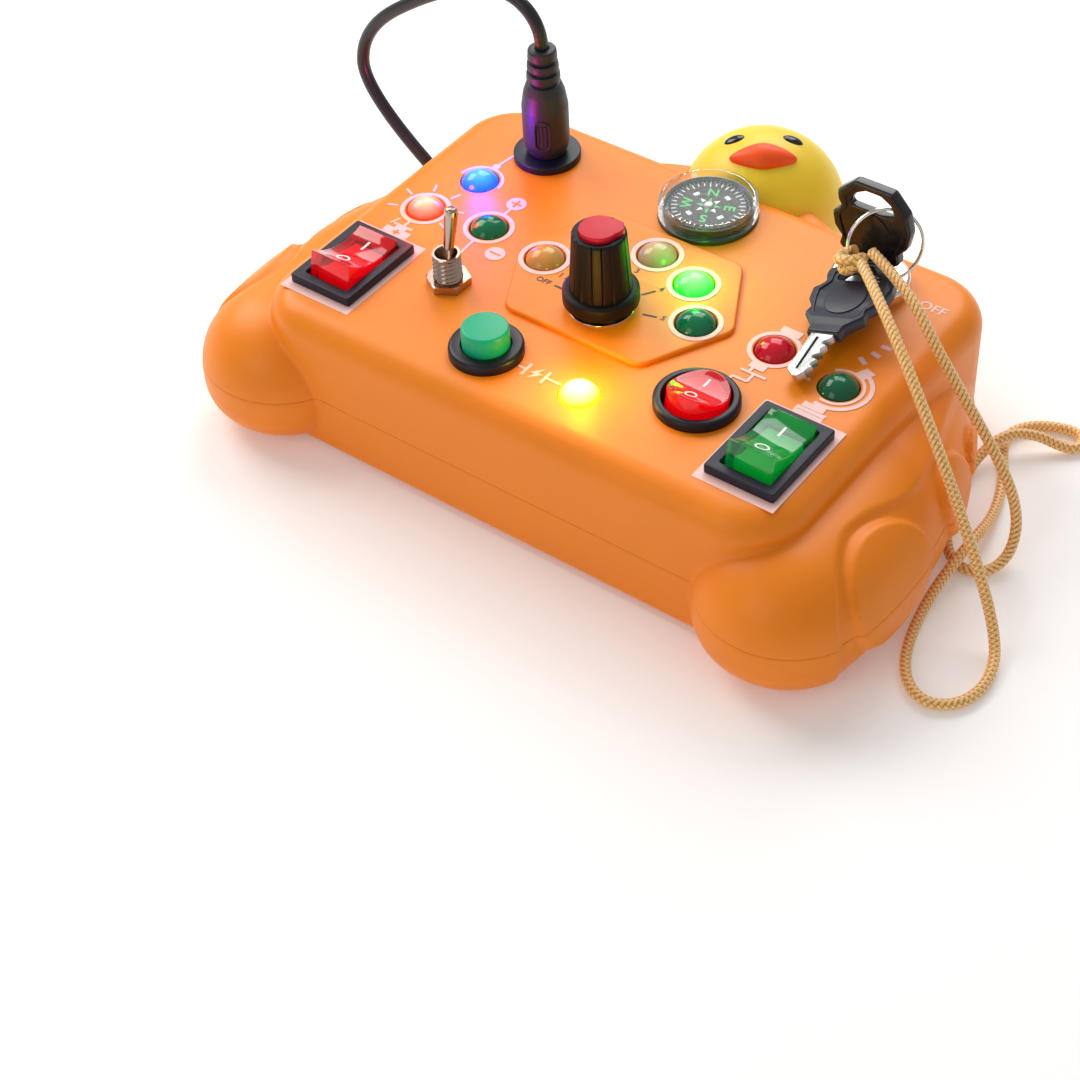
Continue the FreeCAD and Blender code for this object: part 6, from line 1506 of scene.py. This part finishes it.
class BUSYBOARD_OT_graphics(bpy.types.Operator):
    """Print the outlines, ticks and plain letters on the deck"""

    bl_idname = "busyboard.graphics"
    bl_label = "Printed outlines"

    # The discs with a plus and a minus, from the toggle's green lamp
    PLUS_DISC = (0.0, 9.3)
    MINUS_DISC = (6.3, -6.1)

    def execute(self, context):
        self.thick = context.scene.board_sizes.decal / MM
        self.layers = []
        self.rocker_outlines()
        self.left_side()
        self.dial_rings()
        self.right_side()
        settle("printed_outlines", gather(self.layers), "print", sharp=30)
        self.dark_marks()
        return {"FINISHED"}

    def ink(self, *loops, floor=DECK_TOP):
        """One printed shape, each a hair thicker than the last so that none lie in one plane."""
        lift = self.thick + INK_STEP * len(self.layers)
        self.layers.append(plate(loops, floor - INK_SINK, floor + lift))

    def line(self, width, *points, floor=DECK_TOP):
        for start, end in zip(points, points[1:]):
            self.ink(bar(start, end, width), floor=floor)

    def arc(self, x, y, inner, outer, start, sweep, floor=DECK_TOP):
        rim = circle(x, y, outer, 48, start, sweep)
        self.ink(rim + circle(x, y, inner, 48, start, sweep)[::-1], floor=floor)

    def ring(self, x, y, inner, outer, floor=DECK_TOP):
        self.ink(circle(x, y, outer), circle(x, y, inner), floor=floor)

    def rocker_outlines(self):
        for x, y in (RED_ROCKER, GREEN_ROCKER):
            self.ink(rectangle(x, y, *ROCKER_PRINT), rectangle(x, y, 14.6, 20.6))
            back = y + ROCKER_PRINT[1] / 2
            self.ink(rectangle(x, back + 1.0, 6.2, 2.1))
            self.ink(rectangle(x, back + 2.5, 2.6, 1.0))

    def left_side(self):
        """A small sun on its stand, a lamp on its post, and the toggle's circuit."""
        x, y = DECK_LAMPS["left_red"]
        self.ring(x, y, 4.4, 5.3)
        for degrees in (22.5, 67.5, 112.5, 157.5, 202.5, 247.5, 337.5):
            angle = math.radians(degrees)
            way = Vector((math.cos(angle), math.sin(angle)))
            here = Vector((x, y))
            self.line(0.5, here + way * 5.9, here + way * 8.2)
        self.line(0.6, (x, y - 5.2), (x, y - 7.2))
        self.line(0.6, (x - 2.4, y - 7.3), (x + 2.4, y - 7.3))
        x, y = DECK_LAMPS["left_blue"]
        self.arc(x, y, 4.5, 5.1, 0, 180)
        self.ink(rectangle(x, y + 5.8, 1.6, 1.4))
        self.line(0.6, (x, y + 6.0), (x + 0.9, y + 12.6))
        x, y = DECK_LAMPS["toggle_green"]
        self.ring(x, y, 4.4, 5.3)
        self.line(0.6, (x, y + 5.2), (x, y + 7.4))
        for dx, dy in (self.PLUS_DISC, self.MINUS_DISC):
            self.ink(circle(x + dx, y + dy, 2.1, 40))
        self.line(0.6, (x, y - 5.2), (x + 0.3, y - 9.6), (x - 2.7, y - 9.6), (x - 2.0, y - 15.4))

    def dial_rings(self):
        """A ring round each of the dial's lamps, and the button's line with a flash over its gap."""
        for name, x, y, seat in lamp_places():
            if seat == PLATEAU:
                self.ring(x, y, 4.35, 5.35, floor=PLATEAU)
        x, y = BUTTON
        end = DECK_LAMPS["yellow"][0]
        self.line(0.5, (x + 7.6, y), (x + 9.3, y))
        self.line(0.6, (x + 9.5, y - 1.8), (x + 9.5, y + 1.8))
        self.line(0.6, (x + 14.0, y - 1.8), (x + 14.0, y + 1.8))
        self.line(0.5, (x + 14.2, y), (end - 4.2, y))
        self.ink([(x + 12.6, y + 2.0), (x + 10.5, y - 0.4), (x + 11.6, y - 0.2), (x + 10.9, y - 2.0),
                  (x + 13.1, y + 0.4), (x + 12.0, y + 0.2)])

    def right_side(self):
        """A lamp's socket with its wires, a lamp with two arcs, and the lock's four ticks and OFF."""
        x, y = DECK_LAMPS["right_red"]
        self.ring(x, y, 4.4, 5.3)
        self.ink(rectangle(x, y + 6.0, 4.4, 1.8))
        self.ink(rectangle(x, y - 5.9, 3.4, 1.6))
        self.line(0.6, (x - 2.4, y - 8.1), (x + 3.2, y - 8.1))
        self.line(0.6, (x + 0.6, y - 8.1), (x + 0.6, y - 10.6), (x - 2.6, y - 10.6), (x - 2.6, y - 13.2),
                  (x - 3.6, y - 13.2))
        self.line(0.6, (x - 0.6, y - 6.4), (x - 0.6, y - 8.1))
        x, y = DECK_LAMPS["right_green"]
        self.arc(x, y, 4.5, 5.1, -105, 235)
        self.arc(x, y, 5.8, 6.7, -105, 185)
        self.ink([(x + 0.6, y + 5.0), (x + 2.9, y + 4.2), (x + 4.0, y + 6.6), (x + 1.7, y + 7.4)])
        self.ink(rectangle(x - 0.8, y - 7.4, 4.6, 1.5))
        self.line(0.6, (x - 3.4, y - 8.9), (x + 2.4, y - 8.9))
        self.line(0.6, (x - 7.9, y - 1.2), (x - 5.4, y - 1.2))
        for start, end in (((51.0, 16.8), (53.0, 17.4)), ((50.5, 13.9), (52.6, 14.0)),
                           ((49.9, 11.4), (51.9, 10.9)), ((48.8, 8.9), (50.7, 7.7))):
            self.line(1.0, start, end)
        self.layers.append(letters("OFF", 52.9, 28.9, 3.3, DECK_TOP - INK_SINK, self.thick, 0.03))

    def dark_marks(self):
        """Black dial scale and the signs inside the two discs."""
        scale = []
        for number, angle in enumerate((180, 165, 135, 92, 57, 16)):
            way = Vector((math.cos(math.radians(angle)), math.sin(math.radians(angle))))
            start, end = Vector(DIAL) + way * 8.4, Vector(DIAL) + way * 11.3
            scale.append(plate([bar(start, end, 0.4)], PLATEAU - INK_SINK, PLATEAU + self.thick))
            place = Vector(DIAL) + way * (14.0 if number == 0 else 12.6)
            text = "OFF" if number == 0 else str(number)
            scale.append(letters(text, *place, 1.9, PLATEAU - INK_SINK, self.thick, 0.02))
        settle("dial_scale", gather(scale), "print_black", sharp=30)
        lamp, rocker = Vector(DECK_LAMPS["toggle_green"]), Vector(RED_ROCKER)
        plus, minus = lamp + Vector(self.PLUS_DISC), lamp + Vector(self.MINUS_DISC)
        back = rocker + Vector((0, ROCKER_PRINT[1] / 2 + 1.0))
        signs = [self.stroke(plus, (1.2, 0), 0.35), self.stroke(plus, (0, 1.2), 0.35, 0.01),
                 self.stroke(minus, (1.3, 0), 0.35),
                 self.stroke(back, (0.8, 0), 0.3), self.stroke(back, (0, 0.8), 0.3, 0.01)]
        settle("disc_signs", gather(signs), "housing", sharp=30)

    def stroke(self, middle, reach, width, rise=0.0):
        """A stroke of a sign on the print; where two cross, one stands a little higher."""
        top = DECK_TOP + self.thick + 0.12
        return plate([bar(middle - Vector(reach), middle + Vector(reach), width)], top - 0.08, top + rise)


class BUSYBOARD_OT_hidden(bpy.types.Operator):
    """Dress the parts below the deck and on the underside"""

    bl_idname = "busyboard.hidden"
    bl_label = "Underside and inner parts"

    FINISHES = {"housing_screws": "steel", "battery_door_screw": "steel", "rubber_feet": "foot",
                "battery_door": "door", "battery_cell_1": "wrap", "battery_cell_2": "wrap",
                "battery_contacts": "nickel", "circuit_board": "board", "switch_terminals": "nickel",
                "panel_nuts": "chrome", "button_spring": "steel", "rotary_switch_body": "steel",
                "rotary_shaft": "steel"}

    def execute(self, context):
        for node, finish in self.FINISHES.items():
            dress_node(node, finish)
        return {"FINISHED"}


OPERATORS = (BUSYBOARD_OT_stage, BUSYBOARD_OT_cords, BUSYBOARD_OT_housing, BUSYBOARD_OT_duck,
             BUSYBOARD_OT_rockers, BUSYBOARD_OT_toggle, BUSYBOARD_OT_button, BUSYBOARD_OT_dial,
             BUSYBOARD_OT_lamps, BUSYBOARD_OT_compass, BUSYBOARD_OT_power, BUSYBOARD_OT_lock,
             BUSYBOARD_OT_keys, BUSYBOARD_OT_graphics, BUSYBOARD_OT_hidden)


class BUSYBOARD_PT_panel(bpy.types.Panel):
    """Sizes, colours and steps of the busy board"""

    bl_idname = "BUSYBOARD_PT_panel"
    bl_label = "Busy board"
    bl_space_type = "VIEW_3D"
    bl_region_type = "UI"
    bl_category = "Busy board"

    def draw(self, context):
        for group in (context.scene.board_sizes, context.scene.board_colours):
            for name in group.__annotations__:
                self.layout.prop(group, name)
        for operator in OPERATORS:
            self.layout.operator(operator.bl_idname)


CLASSES = (BoardSizes, BoardColours) + OPERATORS + (BUSYBOARD_PT_panel,)


def register():
    for item in CLASSES:
        bpy.utils.register_class(item)
    bpy.types.Scene.board_sizes = PointerProperty(type=BoardSizes)
    bpy.types.Scene.board_colours = PointerProperty(type=BoardColours)


def unregister():
    del bpy.types.Scene.board_colours
    del bpy.types.Scene.board_sizes
    for item in reversed(CLASSES):
        bpy.utils.unregister_class(item)


def main():
    register()
    make_materials(bpy.context.scene.board_colours)
    for operator in OPERATORS:
        family, name = operator.bl_idname.split(".")
        getattr(getattr(bpy.ops, family), name)()


if __name__ == "__main__":
    main()
